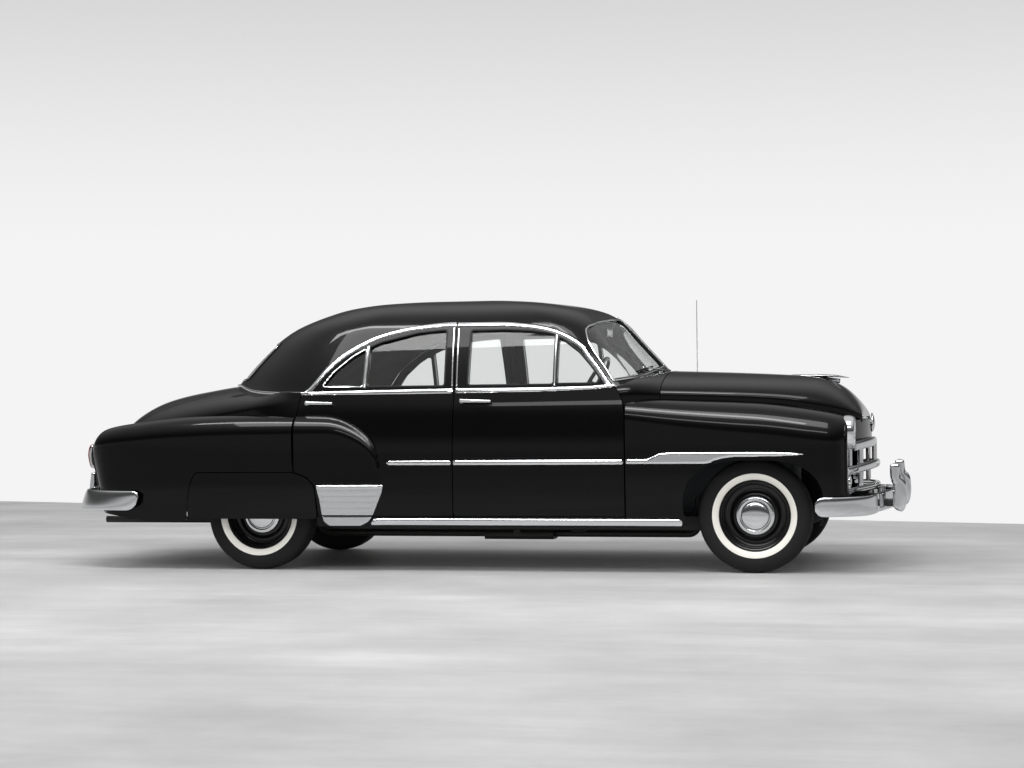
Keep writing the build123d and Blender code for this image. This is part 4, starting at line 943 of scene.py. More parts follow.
# %% Sections carried along a path
def carried(path, section_points, up=upright, sizes=None):
    """A closed section of (sideways, up) points carried along a path, turned to face along it, its ends shut.

    Sideways is the path's direction crossed with up, so the section stays upright as the path bends. Sizes,
    if given, scale the section at each point of the path.
    """
    path = np.asarray(path, float)
    along = np.gradient(path, axis=0)
    along /= np.linalg.norm(along, axis=1)[:, None]
    sideways = np.cross(along, np.asarray(up, float))
    sideways /= np.linalg.norm(sideways, axis=1)[:, None]
    upwards = np.cross(sideways, along)
    s = np.asarray(section_points, float)
    scale = np.ones((len(path), 2))
    if sizes is not None:
        scale = scale * np.asarray(sizes, float).reshape(len(path), -1)
    points = path[:, None, :] + sideways[:, None, :] * (s[None, :, :1] * scale[:, None, :1])
    points = points + upwards[:, None, :] * (s[None, :, 1:] * scale[:, None, 1:])
    rows, columns = points.shape[:2]
    faces = triangles(grid_faces(rows, columns, around=True))
    points = points.reshape(-1, 3)
    # a fan from the section's middle closes each end
    for row, step in ((0, -1), (rows - 1, 1)):
        ring = np.arange(row * columns, (row + 1) * columns)
        points = np.vstack((points, points[ring].mean(axis=0)))
        fan = np.stack((np.full(columns, len(points) - 1), np.roll(ring, step), ring), axis=1)
        faces = np.vstack((faces, fan))
    return outwards(points, faces)


def oval(width, height, power=2.0, count=24):
    """A closed section: |x/w|^p + |y/h|^p = 1, an ellipse for a power of 2 and nearly a rectangle for 6."""
    angle = np.linspace(0, 2 * np.pi, count, endpoint=False)
    c, s = np.cos(angle), np.sin(angle)
    x, y = (np.sign(part) * np.abs(part) ** (2 / power) for part in (c, s))
    return np.stack((width / 2 * x, height / 2 * y), axis=1)


def bar(path, *section, up=upright):
    """A plain oval bar along a path."""
    return carried(path, oval(*section), up=up)


def level_bar(x, z, half, *section):
    """A straight bar across the car, from y = -half to half."""
    return bar([(x, -half, z), (x, 0, z), (x, half, z)], *section)


def tip_round(count, share, least):
    """Sizes along a path: 1, falling as a quarter circle to almost nothing over a share at each end."""
    s = np.linspace(-1, 1, count)
    return np.sqrt(np.clip(1 - ((np.abs(s) - (1 - share)) / share).clip(0, 1) ** 2, least, 1))


bumper_half, metal_inset, guard_y = 938.0, 9.0, 385.0


def bumper_path(centre_x, corner_x, end_x, corner_y):
    """Plan of a blade: a shallow parabola between the corners, then a quarter ellipse back to each end."""
    outer_way = np.sign(centre_x)
    y = np.linspace(0, corner_y, 26)
    middle = np.stack((centre_x + (corner_x - centre_x) * (y / corner_y) ** 2, y), axis=1)
    angle = np.linspace(0, np.pi / 2, 40)[1:]
    corner_xs = end_x + (corner_x - end_x) * np.cos(angle)
    corner = np.stack((corner_xs, corner_y + (bumper_half - corner_y) * np.sin(angle)), axis=1)
    plan = smooth_rows(np.vstack((middle, corner)), 64, 18.0)
    along = np.gradient(plan, axis=0)
    normal = np.stack((along[:, 1], -along[:, 0]), axis=1) * outer_way
    inset = metal_inset * np.sign(normal[0, 0] * outer_way)
    plan = plan - normal / np.linalg.norm(normal, axis=1)[:, None] * inset
    return np.vstack(((plan * (1, -1))[:0:-1], plan))


def blade(centre_x, corner_x, end_x, z0, z1, corner_y, lean=0.0, rise=0.0):
    """The blade's section is an oval 18 mm deep, and it closes to a round tip at its ends.

    Lean moves a point outwards by lean times its depth below mid-height, and rise lifts the blade's middle.
    """
    plan = bumper_path(centre_x, corner_x, end_x, corner_y)
    middle = (z0 + z1) / 2 + rise * (1 - np.clip(np.abs(plan[:, 1]) / 760, 0, 1) ** 2)
    tip = tip_round(len(plan), 0.045, 0.02)
    sizes = np.stack((0.6 + 0.4 * tip, 0.35 + 0.65 * tip), axis=1)
    points, faces = carried(np.column_stack((plan, middle)), oval(18.0, z1 - z0, 2.8, 28), sizes=sizes)
    points[:, 0] += np.sign(centre_x) * lean * ((z0 + z1) / 2 - points[:, 2])
    return points, faces


def guard(rows, y, half=30):
    """An upright guard: rows of (x, z, depth) give its middle line and depth; its ends are rounded off."""
    rows = smooth_rows(rows, 36, 8.0)
    path = np.column_stack((rows[:, 0], np.full(len(rows), y), rows[:, 1]))
    tip = tip_round(len(path), 0.1, 0.03)
    sizes = np.stack((rows[:, 2] * tip, 2 * half * tip), axis=1)
    return carried(path, oval(1.0, 1.0, 4.5, 28), up=across, sizes=sizes)


front_guard = [
    (2450, 334, 60), (2464, 360, 76), (2470, 420, 80), (2468, 488, 76), (2450, 512, 62), (2444, 560, 58),
    (2442, 602, 54),
]
rear_guard = [(-2484, 347, 24), (-2488, 400, 34), (-2490, 440, 40), (-2487, 500, 36), (-2482, 563, 26)]
front_blade = blade(2445, 2360, 2030, 323, 431, 560.0, rise=20.0)
rear_blade = blade(-2480, -2468, -1966, 352, 468, 500.0, lean=0.35)
for end, shell, rows in (("front", front_blade, front_guard), ("rear", rear_blade, rear_guard)):
    bumper = joined(shell, guard(rows, -guard_y), guard(rows, guard_y))
    place(end + "_bumper_dressed", bumper, chrome, stands_for=end + "_bumper", crisp=50)
arms = []
for y in (-guard_y, guard_y):
    arms.append(bar([(2280, y, 372), (2340, y, 374), (2400, y, 376), (2436, y, 378)], 44, 34, 5, up=across))
    arms.append(bar([(-2320, y, 425), (-2400, y, 425), (-2479, y, 425)], 36, 34, 5, up=across))
place("bumper_arms", joined(*arms), chassis_paint)
place("plate_bracket", level_bar(-2485.0, 508, 115, 6, 104, 12, 48), chrome)

# %% [markdown]
# ## Bright trim on the sides
# A pressed moulding is a shallow pillow on the body's skin. It is drawn as an outline in the side view.
# Inside the outline the metal rises from the skin by a quarter circle near its edge and then runs level, so
# the height at a point depends only on how far the point lies inside the outline.

# %% Pressed mouldings
trim_wall = 1.5
fender_stations = np.array(fender_rows)


def body_y(x, z):
    """The left skin: the door or the rear fender's nose, and ahead of the door the front fender."""
    fender_out = np.interp(x, fender_stations[:, 0], fender_stations[:, 3])
    fender_out -= front_tuck * np.clip((560.0 - z) / 288.0, 0, 1) ** 1.5
    return np.where(x < 966, door_y(x, z), fender_out)


def raised(xs, zs, level_at, rise_at, skin=body_y):
    """A sheet over the side view where level_at(x, z) is positive, rise_at(level, z) off the skin."""
    x, z = pairs_of(xs, zs)
    level = level_at(x, z)
    points = np.stack((x, skin(x, z) + rise_at(level, z), z), axis=1)
    grid = facing((points, grid_faces(len(zs), len(xs))), leftwards)
    return wall(trim(grid, level), trim_wall)


def quarter_circle(level, height, roll):
    """Height times sqrt(1 - (1 - level / roll)^2), which is level once it is roll inside."""
    return height * np.sqrt(1 - (1 - np.clip(level / roll, 0, 1)) ** 2)


def pressed(outline, height, roll, step, lift=1.0, ribs=None):
    """A moulding on the skin inside its outline. Ribs, if given, is a pitch and depth of its level rolls."""
    outline = np.asarray(outline, float)
    (x0, z0), (x1, z1) = outline.min(axis=0), outline.max(axis=0)

    def rise_at(level, z):
        rise = quarter_circle(level, height, roll)
        if ribs:
            rise = rise * (1 + ribs[1] / height * (np.abs(np.sin(np.pi * z / ribs[0])) - 1))
        return lift + rise

    xs, zs = np.arange(x0, x1 + step[0], step[0]), np.arange(z0 - 0.5, z1 + step[1], step[1])
    return raised(xs, zs, lambda x, z: inside_outline(x, z, outline), rise_at)


fender_plate = [
    (972, 618), (1422, 619), (1450, 624), (1471, 636), (1520, 649), (1590, 657), (1798, 659), (1901, 662),
    (1977, 669), (1901, 678), (1729, 682), (1219, 682), (1163, 677), (1131, 662), (1091, 645), (972, 644),
]
guard_top = [
    (-850, 498), (-458, 498), (-461, 470), (-474, 430), (-496, 375), (-516, 326), (-819, 326), (-832, 420),
]
guard_foot = [(-818, 319), (-519, 319), (-545, 288), (-592, 265), (-778, 265), (-806, 288)]
guard_rim = [(-848, 500), (-456, 500), (-460, 482), (-846, 482)]
rear_belt = [(-936, 1026), (-500, 1026), (-45, 1028), (-45, 1057), (-500, 1052), (-920, 1046)]
front_belt = [
    (-31, 1028), (470, 1032), (760, 1042), (890, 1054), (904, 1062), (888, 1072), (760, 1062), (470, 1057),
    (-31, 1057),
]
strip = {"height": 6.0, "roll": 11.0, "step": (20.0, 2.4)}
belt = {"height": 7.0, "roll": 12.0, "step": (20.0, 2.6)}
sheet_steel = {"height": 5.0, "roll": 8.0, "step": (16.0, 2.6), "ribs": (34.0, 0.9)}
rear_strip = [(-436, 628), (-416, 616), (-47, 615), (-47, 641), (-416, 640)]
for name, outline, shape, material, body in (
    ("side_strip_rear_door", rear_strip, strip, chrome, "door_rear"),
    ("side_strip_front_door", [(-34, 615), (956, 615), (956, 641), (-34, 641)], strip, chrome, "door_front"),
    ("side_strip_fender", fender_plate, {"height": 7.0, "roll": 12.0, "step": (12.0, 2.4)}, chrome, "body"),
    ("rocker_moulding", [(-508, 306), (1286, 306), (1288, 268), (-535, 268)],
     {"height": 8.0, "roll": 14.0, "step": (24.0, 2.8)}, chrome, "body"),
    ("stone_guard", guard_top, sheet_steel, stainless, "door_rear"),
    ("stone_guard_rim", guard_rim, {"height": 4.8, "roll": 8.0, "step": (8.0, 2.0)}, chrome, "door_rear"),
    ("stone_guard_foot", guard_foot, sheet_steel, stainless, "body"),
    ("belt_strip_rear_door", rear_belt, belt, chrome, "door_rear"),
    ("belt_strip_front_door", front_belt, belt, chrome, "door_front"),
):
    place_pair(name, pressed(outline, **shape), material, body)
print("side mouldings made")

# %% [markdown]
# A bright band runs over the doors as a drip rail and frame in one. It follows the same arc as the door's
# edge, at a fixed distance, and covers most of the gap. It rides on the doors, which carry it clear of the
# roof as they swing out.

# %% Frame bands, bars and pillar strips
both_doors = np.vstack((door_arc, [(960, sill_z), (-984, sill_z)]))


def frame_band(outer, inner, x_range, z_low, height=5.0, step=5.5):
    """A band along the door arc, from outer mm outside it to inner mm inside it."""
    half = (outer + inner) / 2

    def level_at(x, z):
        away = nearest(x, z, door_arc) * np.sign(inside_outline(x, z, both_doors))
        level = half - np.abs(away - (inner - outer) / 2)
        return np.min((level, z - z_low, x - x_range[0], x_range[1] - x), axis=0)

    xs, zs = np.arange(x_range[0], x_range[1] + step, step), np.arange(z_low, 1460, step)
    return raised(xs, zs, level_at, lambda level, z: 2.2 + quarter_circle(level, height, half * 0.8))


def ring_round(pane, inner, outer, height, step=5.0):
    """A thin frame round a window, from inner to outer mm outside its outline."""
    outline, half = windows[pane], (outer - inner) / 2
    (x0, z0), (x1, z1) = outline.min(axis=0) - 12, outline.max(axis=0) + 12

    def level_at(x, z):
        return half - np.abs(-inside_outline(x, z, outline) - (inner + outer) / 2)

    def rise_at(level, z):
        return 1.0 + height * np.sqrt(np.clip(level / half, 0, 1))

    return raised(np.arange(x0, x1, step), np.arange(z0, z1, step), level_at, rise_at, lambda x, z: side_y(z))


place_pair("frame_band_rear", frame_band(4.0, 20.0, (-946, -60), 1042.0), chrome, "door_rear")
place_pair("frame_band_front", frame_band(1.0, 23.0, (-52, 925), 1062.0), chrome, "door_front")
place_pair("rear_quarter_frame", ring_round("rear_quarter", -1.0, 5.0, 2.5), chrome, "door_rear")
for pane, body in (("rear_main", "door_rear"), ("front_main", "door_front"), ("front_vent", "door_front")):
    place_pair(pane + "_seal", ring_round(pane, -2.0, 7.0, 2.0), rubber, body)
bars = {"height": 7.0, "roll": 9.0, "step": (2.0, 6.0)}
thin = {"height": 3.0, "roll": 3.5, "step": (1.6, 8.0)}
for name, outline, shape in (
    ("division_bar_rear", [(-593, 1064), (-572, 1064), (-569, 1318), (-588, 1310)], bars),
    ("division_bar_front", [(545, 1064), (559, 1064), (554, 1362), (540, 1364)], bars),
    ("pillar_strip_rear", [(-56, 1060), (-48, 1060), (-66, 1412), (-74, 1412)], thin),
    ("pillar_strip_front", [(-28, 1060), (-20, 1060), (-36, 1408), (-44, 1408)], thin),
):
    place_pair(name, pressed(outline, **shape), chrome, "door_" + name.split("_")[-1])

# %% [markdown]
# The strip under the cabin's back climbs from the doors' belt to the foot of the rear window. It and the
# window's reveal, a bright bead in a rubber one, are carried along lines on the cabin's own skin.

# %% The back of the cabin
def on_cabin(distance, z, lift=0.0):
    """The cabin's left skin at a distance round its plan from the screen's centre, moved out by lift."""
    outline = plan_outline(section_at(z))[:, :2]
    along = length_along(outline)
    distance = min(distance, along[-1] - 3.0)
    both = (distance, distance + 2.0)
    here, ahead = np.stack([np.interp(both, along, outline[:, i]) for i in (0, 1)], axis=1)
    way = (ahead - here) / np.linalg.norm(ahead - here)
    return np.array((here[0] + lift * way[1], here[1] - lift * way[0], z))


# x, and the height of the strip there
climb_x = (-1640, -1438, -1390, -1330, -1240, -1130, -1060, -950)
climb_z = (1092, 1087, 1071, 1053, 1043, 1036, 1034, 1034)
plan = plan_outline(section_at(1050))[:, :2]
behind = plan[:, 0] < -945
stations = zip(length_along(plan)[behind][:-14], plan[behind][:-20, 0])
belt_line = [on_cabin(d, np.interp(x, climb_x, climb_z), 4.0) for d, x in stations]
belt_line = smooth_rows(np.vstack((belt_line, on_cabin(9999.0, 1092.0, 4.0))), 90, 14.0)
belt_line = np.vstack((belt_line, (belt_line * (1, -1, 1))[-2::-1]))
place("rear_belt_strip", bar(belt_line, 11, 20, 2.6, 20), chrome)


def on_back(y, z, lift):
    """The back of the cabin at (y, z), moved out by lift away from a point inside."""
    outline = plan_outline(section_at(z))[:, :2]
    outline = outline[outline[:, 0] < -600][::-1]
    skin = np.array((np.interp(abs(y), outline[:, 1], outline[:, 0]), y, z))
    away = skin - (-650.0, 0, 800.0)
    return skin + lift * away / np.linalg.norm(away)


def edge_line(pane, parts, at, lift):
    """A pane's whole edge on the skin, each side cut into parts - 1, with a little overlap at its start."""
    closed = np.vstack((pane, pane[:1]))
    edge = np.vstack([np.linspace(a, b, parts)[:-1] for a, b in zip(closed[:-1], closed[1:])])
    line = np.array([at(a, b, lift) for a, b in edge])
    return np.vstack((line, line[:2]))


back_up, screen_up = (-0.85, 0, 0.52), (0.6, 0.4, 0.66)
place("rear_window_reveal", bar(edge_line(rear_pane, 5, on_back, 3.0), 12, 7, 2.6, 14, up=back_up), chrome)
place("rear_window_seal", bar(edge_line(rear_pane, 5, on_back, 0.0), 24, 9, 2.6, 14, up=back_up), rubber)
print("frames and belt made")

# %% [markdown]
# ## Screen, lamps and grille
# The windscreen is two panes either side of a centre bar, straight across in plan and bent round at their
# outer ends. They have a bright reveal in a rubber seal, each drawn as a round bead carried along the pane's
# edge. The lamps are turned shells with glass in front, and the grille bars are plated ovals that bow
# forwards and rise to the middle.

# %% The windscreen's reveal and wipers
reveal = bar(edge_line(screen_pane, 4, on_cabin, 3.0), 10, 13, 2.4, 10, up=screen_up)
place_pair("screen_reveal", reveal, chrome)
seal = bar(edge_line(screen_pane, 4, on_cabin, -3.0), 14, 20, 3, 12, up=screen_up)
place_pair("screen_seal", seal, rubber)
centre_line = [on_cabin(0.0, z, 5.0) for z in np.linspace(1160, 1478, 24)]
place("screen_centre_bar", bar(centre_line, 26, 12, 2.4, 16, up=(0.75, 0, 0.66)), chrome)
t = np.linspace(0, 1, 14)
arm_line = [on_cabin(130 + 290 * i, 1158 + 12 * i, 22.0 - 6 * i) for i in t]
blade_line = [on_cabin(230 + 360 * i, 1176 - 34 * i, 9.0) for i in t]
pivot = on_cabin(130, 1158, 22.0)
stub = bar([pivot - (20, 0, 34), pivot - (10, 0, 17), pivot + (0, 0, 3)], 18, 18, 2, 16, up=across)
place_pair("wiper_arm", joined(bar(arm_line, 8, 6, 3, 10), stub), chrome)
place_pair("wiper_blade", bar(blade_line, 6, 11, 3, 10), rubber)
print("windscreen dressed")


# %% Headlamps, parking lamps and tail lamps
def turned_forwards(profile, centre, count=64):
    """A profile of (forwards, radius) round a line along the car."""
    points, faces = turned(profile, count=count)
    return facing((points[:, (1, 0, 2)] + np.asarray(centre, float), faces), (1, 0, 0))


def lamp_shell(rows, count, soften, centre, thickness, around=64):
    """A turned shell through rows of (forwards, radius)."""
    return wall(turned_forwards(smooth_rows(rows, count, soften), centre, around), thickness)


lamp_at, park_at = (2196.0, 690.0, 785.0), (2196.0, 628.0, 505.0)
bezel_rows = [(-16, 95), (4, 97), (20, 95), (36, 89), (42, 83), (38, 79), (16, 78)]
bezel = lamp_shell(bezel_rows, 22, 1.5, lamp_at, 2.0)
place_pair("headlamp_bezel", bezel, chrome, stands_for="headlamps", crisp=60)
dish_rows = [(8, 80), (-10, 70), (-28, 48), (-38, 22), (-40, 0.3)]
place_pair("headlamp_dish", lamp_shell(dish_rows, 24, 2.0, lamp_at, 1.5), chrome)
angles = np.linspace(np.pi / 2 - 0.02, 0.004, 26)
lens_profile = [(20 + 24 * np.cos(a) ** 1.2, 80 * np.sin(a)) for a in angles]
points, faces = turned_forwards(lens_profile, lamp_at)
from_rim = 80 - np.hypot(points[:, 1] - lamp_at[1], points[:, 2] - lamp_at[2])
flutes = 0.8 * np.cos((points[:, 1] - lamp_at[1]) * 2 * np.pi / 14)
points[:, 0] += flutes * np.clip(from_rim / 20, 0, 1)
place_pair("headlamp_lens", wall((points, faces), 3.0), lens_glass)
park_rows = [(-30, 44), (2, 46), (12, 43), (13, 38), (4, 36)]
place_pair("parking_lamp_bezel", lamp_shell(park_rows, 20, 1.0, park_at, 2.0, 48), chrome)
park_lens = [(4 + 14 * np.cos(a), 37 * np.sin(a)) for a in np.linspace(1.55, 0.01, 14)]
place_pair("parking_lamp_lens", wall(turned_forwards(park_lens, park_at, 48), 2.0), lens_glass)
place_pair("parking_lamp_post", bar([(2150, 628, 505), (2168, 628, 505)], 70, 70, 2, 20), chrome)

tail_rows = smooth_rows([(-2338, 596), (-2352, 640), (-2358, 680), (-2352, 715), (-2338, 742)], 30, 10.0)
tail_path = np.column_stack((tail_rows[:, 0], np.full(30, 702.0), tail_rows[:, 1]))


def tail_shape(path, depth, width, share, least):
    """A tail lamp's pillow along an upright path."""
    sizes = np.outer(tip_round(30, share, least), (depth, width))
    return carried(path, oval(1, 1, 2.6, 24), up=across, sizes=sizes)


place_pair("tail_lamp_lens", tail_shape(tail_path, 34, 58, 0.3, 0.03), red_lens, stands_for="taillamps")
place_pair("tail_lamp_bezel", tail_shape(tail_path + (7, 0, 0), 30, 72, 0.24, 0.06), chrome)
print("lamps made")


# %% Grille, nose badge and hood ornament
def bowed(centre, side, half, *section):
    """A bar across the nose: x and z go from the centre's to the side's as the square of y over half."""
    y = np.linspace(-half, half, 44)
    share = (y / half) ** 2
    x, z = (c + (s - c) * share for c, s in zip(centre, side))
    return bar(np.stack((x, y, z), axis=1), *section)


grille_parts = [
    bowed((2306, 720), (2222, 704), 560, 34, 54, 2.6),
    bowed((2324, 592), (2188, 566), 690, 36, 48, 2.6),
    bowed((2330, 468), (2166, 454), 700, 28, 28, 2.6),
]
posts = ((-596, 2200, 588), (-430, 2252, 470), (0, 2310, 588), (430, 2252, 470), (596, 2200, 588))
for y, ahead, low in posts:
    grille_parts.append(bar(straight((ahead, y, low), (ahead, y, 716), 12), 30, 24, 3, 18, up=across))
place("grille_dressed", joined(*grille_parts), chrome, stands_for="grille", crisp=50)
mouth_edge = np.vstack((mouth, mouth[:2]))
mouth_x = np.interp(np.abs(mouth_edge[:, 0]), (0, 466, 600, 745), (2300, 2216, 2206, 2176))
place("mouth_surround", bar(np.column_stack((mouth_x, mouth_edge)), 16, 16, 2, 12, up=(1, 0, 0)), chrome)

t = np.linspace(0, 1, 30)
badge_path = np.stack((2298 + 4 * np.sin(t * np.pi), 0 * t, 776 + 112 * t), axis=1)
t = np.linspace(0.02, 0.98, 30)
deep, wide = 26 * np.sin(np.pi * t**0.8) ** 0.7 + 2, 92 * np.sin(np.pi * t**0.62) ** 0.8 + 3
badge_size = np.stack((deep, wide), axis=1)
badge_parts = [carried(badge_path, oval(1, 1, 2, 28), up=across, sizes=badge_size)]
t = np.linspace(0, 1, 16)
for side in (-1, 1):
    path = np.stack((2296 - 30 * t**2, side * (20 + 150 * t), 838 + 14 * t), axis=1)
    sizes = np.stack((16 * (1 - t) ** 0.5 + 2, 26 * (1 - t) ** 0.6 + 3), axis=1)
    badge_parts.append(carried(path, oval(1, 1, 2.2, 16), sizes=sizes))
place("nose_badge", joined(*badge_parts), chrome, crisp=60)
t = np.linspace(0, 1, 50)
span = np.interp(t, (0, 0.06, 0.5, 0.82, 0.93, 1), (18, 60, 120, 130, 60, 6))
deep = np.interp(t, (0, 0.1, 0.5, 0.8, 1), (5, 13, 17, 15, 3))
wing_z = np.interp(t, (0, 0.5, 0.8, 1), (1114, 1112, 1107, 1097))
wing_path = np.stack((1799 + 370 * t, 0 * t, wing_z), axis=1)
wing = carried(wing_path, oval(1, 1, 2.3, 28), sizes=np.stack((span, deep), axis=1))
stem_path = np.stack((1950 + 165 * t, 0 * t, np.interp(t, (0, 0.6, 1), (1094, 1084, 1078))), axis=1)
stem_width = 40 * np.sin(np.pi * np.clip(t, 0.04, 0.96)) ** 0.5
stem_size = np.stack((stem_width, np.interp(t, (0, 0.5, 1), (16, 34, 26))), axis=1)
stem = carried(stem_path, oval(1, 1, 2.2, 20), sizes=stem_size)
place("hood_ornament", joined(wing, stem), chrome, "hood_lid", crisp=60)
print("nose made")

# %% [markdown]
# Door handles are pull grips cast in one piece: a round boss at the back, a bar that runs forwards about 25
# mm off the skin, and a foot at the front. A dark matte patch behind each grip is painted shade: it stands
# for the shadow in the door's cup under the grip.

# %% Door handles
t = np.linspace(0, 1, 30)
for end, x0, x1, z in (("front", 10, 188, 976), ("rear", -924, -762, 972)):
    skin = float(side_y(z))
    grip = np.stack((x0 + (x1 - x0) * t, skin + 24 + 4 * np.sin(np.pi * t), z + 8 - 4 * t), axis=1)
    grip_part = carried(grip, oval(1, 1, 2.4, 18), sizes=np.stack((14 - 3 * t, 20 - 6 * t), axis=1))
    at, out = (x0 + 8, x1 - 14), skin - 2
    boss = bar([(at[0], out, z + 6), (at[0], out + 14, z + 7), (at[0], out + 32, z + 8)], 28, 30, 2, 24)
    foot = bar([(at[1], out, z + 2), (at[1], out + 14, z + 3), (at[1], out + 26, z + 4)], 16, 13, 2, 16)
    place_pair("door_handle_" + end, joined(grip_part, boss, foot), chrome, "door_" + end, crisp=50)
    # painted shade: a dark rubber patch inside this outline, where the grip's shadow falls in the cup
    shade_outline = [(x0 + 30, z - 4), (x0 + 30, z + 14), (x1 - 30, z + 12), (x1 - 30, z - 6)]
    painted_shade = pressed(shade_outline, 1.5, 5.0, (6.0, 2.0), lift=0.4)
    place_pair("handle_cup_" + end, painted_shade, rubber, "door_" + end, slot="black_enamel")
print("handles made")

# %% [markdown]
# ## Inside
# Flat inner panels close the cabin from the engine and the trunk. The seats are long pillows: a rounded
# outline in the side view is carried across the car, and it draws in at each sewn channel and at the ends,
# as a stuffed cover does where its seams hold it.

# %% Inner panels and posts
def plate(axis, at, outline, thickness, step=60.0):
    """A flat sheet across axis 0, 1 or 2 at the given place, its outline in the other two coordinates."""
    outline = np.asarray(outline, float)
    low, high = outline.min(axis=0) - 1, outline.max(axis=0) + 1
    cells = [np.linspace(a, b, max(int((b - a) / step), 3)) for a, b in zip(low, high)]
    a, b = pairs_of(*cells)
    points = np.insert(np.stack((a, b), axis=1), axis, at, axis=1)
    sheet = facing((points, grid_faces(len(cells[1]), len(cells[0]))), np.eye(3)[axis])
    return wall(trim(sheet, inside_outline(a, b, outline)), thickness)


firewall = plate(0, 974, [(-790, 264), (790, 264), (790, 990), (600, 1050), (-600, 1050), (-790, 990)], 7.0)
place("firewall", firewall, chassis_paint, stands_for="body_shell")
centre_post = [(-38 - 14 * (z - 320) / 1100, float(side_y(z)) - 76, z) for z in np.linspace(320, 1420, 40)]
hinge_post = [(1000, 792, z) for z in np.linspace(264, 990, 20)]
place_pair("centre_post", bar(centre_post, 46, 50, 8, 32, up=across), enamel)
place_pair("hinge_post", bar(hinge_post, 44, 90, 8, 32, up=across), enamel)
rocker_box = bar([(-850, 828, 290), (0, 828, 290), (960, 828, 290)], 58, 50, 8, 32)
place_pair("rocker_box", rocker_box, chassis_paint)
house_z = 340
house = [(rear_axle + 372 * np.cos(a), 722.0, house_z + 372 * np.sin(a)) for a in np.linspace(0.0, np.pi, 40)]
place_pair("rear_wheel_house", bar(house, 3, 176, 8, 24, up=across), chassis_paint)
side_outline = [
    (-1000, 330), (-1000, 1040), (-1430, 1040), (-2230, 760), (-2230, 505), (-1640, 505), (-1590, 520),
]
over_wheel = np.linspace(np.pi, 0.0, 24)[1:]
side_outline += [(rear_axle + 366 * np.cos(a), house_z + 366 * np.sin(a)) for a in over_wheel]
place_pair("inner_quarter", plate(1, 640, side_outline, 4.0), chassis_paint)
# the floor narrows with the deck, and a valance closes the tail between the fenders down to their lower edge
floor_half = [(-2374, 370), (-2270, 430), (-2150, 590), (-1130, 590)]
floor_plan = [(-2374, -370)] + floor_half + [(x, -y) for x, y in floor_half[:0:-1]]
place("trunk_floor", plate(2, 504, floor_plan, 5.0), carpet)
place("tail_valance", plate(0, -2300, [(-500, 352), (500, 352), (500, 508), (-500, 508)], 6.0), enamel)
place("trunk_wall", plate(0, -1128, [(-634, 500), (634, 500), (634, 1050), (-634, 1050)], 5.0), carpet)
shelf_plan = [
    (-1132, -634), (-1132, 634), (-1350, 560), (-1480, 400), (-1530, 0), (-1480, -400), (-1350, -560),
]
place("parcel_shelf", plate(2, 1066, shelf_plan, 6.0), broadcloth)
xs, ys = pairs_of(np.linspace(-985, 955, 24), np.linspace(-776, 776, 72))
tunnel = np.clip((181 - np.abs(ys)) / 12, 0, 1)  # the hump over the driveshaft
mat = facing((np.stack((xs, ys, 319 + 116 * tunnel), axis=1), grid_faces(72, 24)), upright)
place("floor_carpet", wall(mat, 1.0, lift=3.0), carpet)
print("inner panels made")


# %% Seats
seat_half = 610
channels = np.linspace(-500, 500, 11)


def pillow(outline, corner):
    """A closed cushion: the outline (x, z) carried across the car.

    At distance d from a channel the section shrinks by 4% of exp(-(d / 11)^2), and it rounds off at each end.
    """
    shape = rounded(outline, corner)
    middle = shape.mean(axis=0)
    y = np.linspace(-seat_half, seat_half, 141)
    path = np.stack((np.full(141, middle[0]), y, np.full(141, middle[1])), axis=1)
    ends = 1 - 0.16 * np.clip((np.abs(y) - seat_half + 45) / 45, 0, 1) ** 2.2
    crown = 1 + 0.012 * np.cos(y / seat_half * np.pi / 2)
    drawn = sum(np.exp(-(((y - c) / 11.0) ** 2)) for c in channels)
    return carried(path, shape - middle, sizes=ends * crown * (1 - 0.04 * np.minimum(drawn, 1)))


for name, outline, corner in (
    ("front_cushion", [(560, 448), (562, 580), (420, 596), (140, 566), (20, 520), (12, 448)], 40),
    ("front_backrest", [(136, 556), (20, 1000), (-80, 1002), (-16, 520)], 36),
    ("rear_cushion", [(-505, 448), (-500, 590), (-640, 600), (-900, 566), (-960, 530), (-960, 448)], 40),
    ("rear_backrest", [(-900, 556), (-1010, 1042), (-1112, 1042), (-1112, 540)], 36),
):
    node = name.split("_")[0] + "_seat"
    seat = place(name, pillow(outline, corner), broadcloth, stands_for=node, crisp=60)
for name, middle, length in (("front_seat_base", 270, 460), ("rear_seat_base", -755, 390)):
    place(name, level_bar(middle, 384, 570, length, 122, 12, 40), dash_paint, slot="seat_cloth")
print("seats made")


# %% Steering wheel, dials and fittings
column_tilt = np.radians(30.0)
column_axis = np.array((-np.cos(column_tilt), 0, np.sin(column_tilt)))
wheel_up = np.array((np.sin(column_tilt), 0, np.cos(column_tilt)))
wheel_centre = np.array((545.0, 350, 1065))


def on_wheel(points):
    """Moves points from the steering wheel's own frame (left, up, towards the driver) to the car's."""
    p = np.asarray(points, float)
    return wheel_centre + p[:, :1] * np.array(leftwards) + p[:, 1:2] * wheel_up + p[:, 2:] * column_axis


def ring(radius, tube, depth, count=96):
    """A torus round the column."""
    turn = np.linspace(0, 2 * np.pi, count, endpoint=False)[:, None]
    round_tube = np.linspace(0, 2 * np.pi, 20, endpoint=False)[None, :]
    r = radius + tube * np.cos(round_tube)
    deep = depth + tube * np.sin(round_tube) + 0 * turn
    points = np.stack((r * np.cos(turn), r * np.sin(turn), deep), axis=-1)
    faces = triangles(grid_faces(count + 1, 20, around=True)) % (count * 20)
    return outwards(on_wheel(points.reshape(-1, 3)), faces)


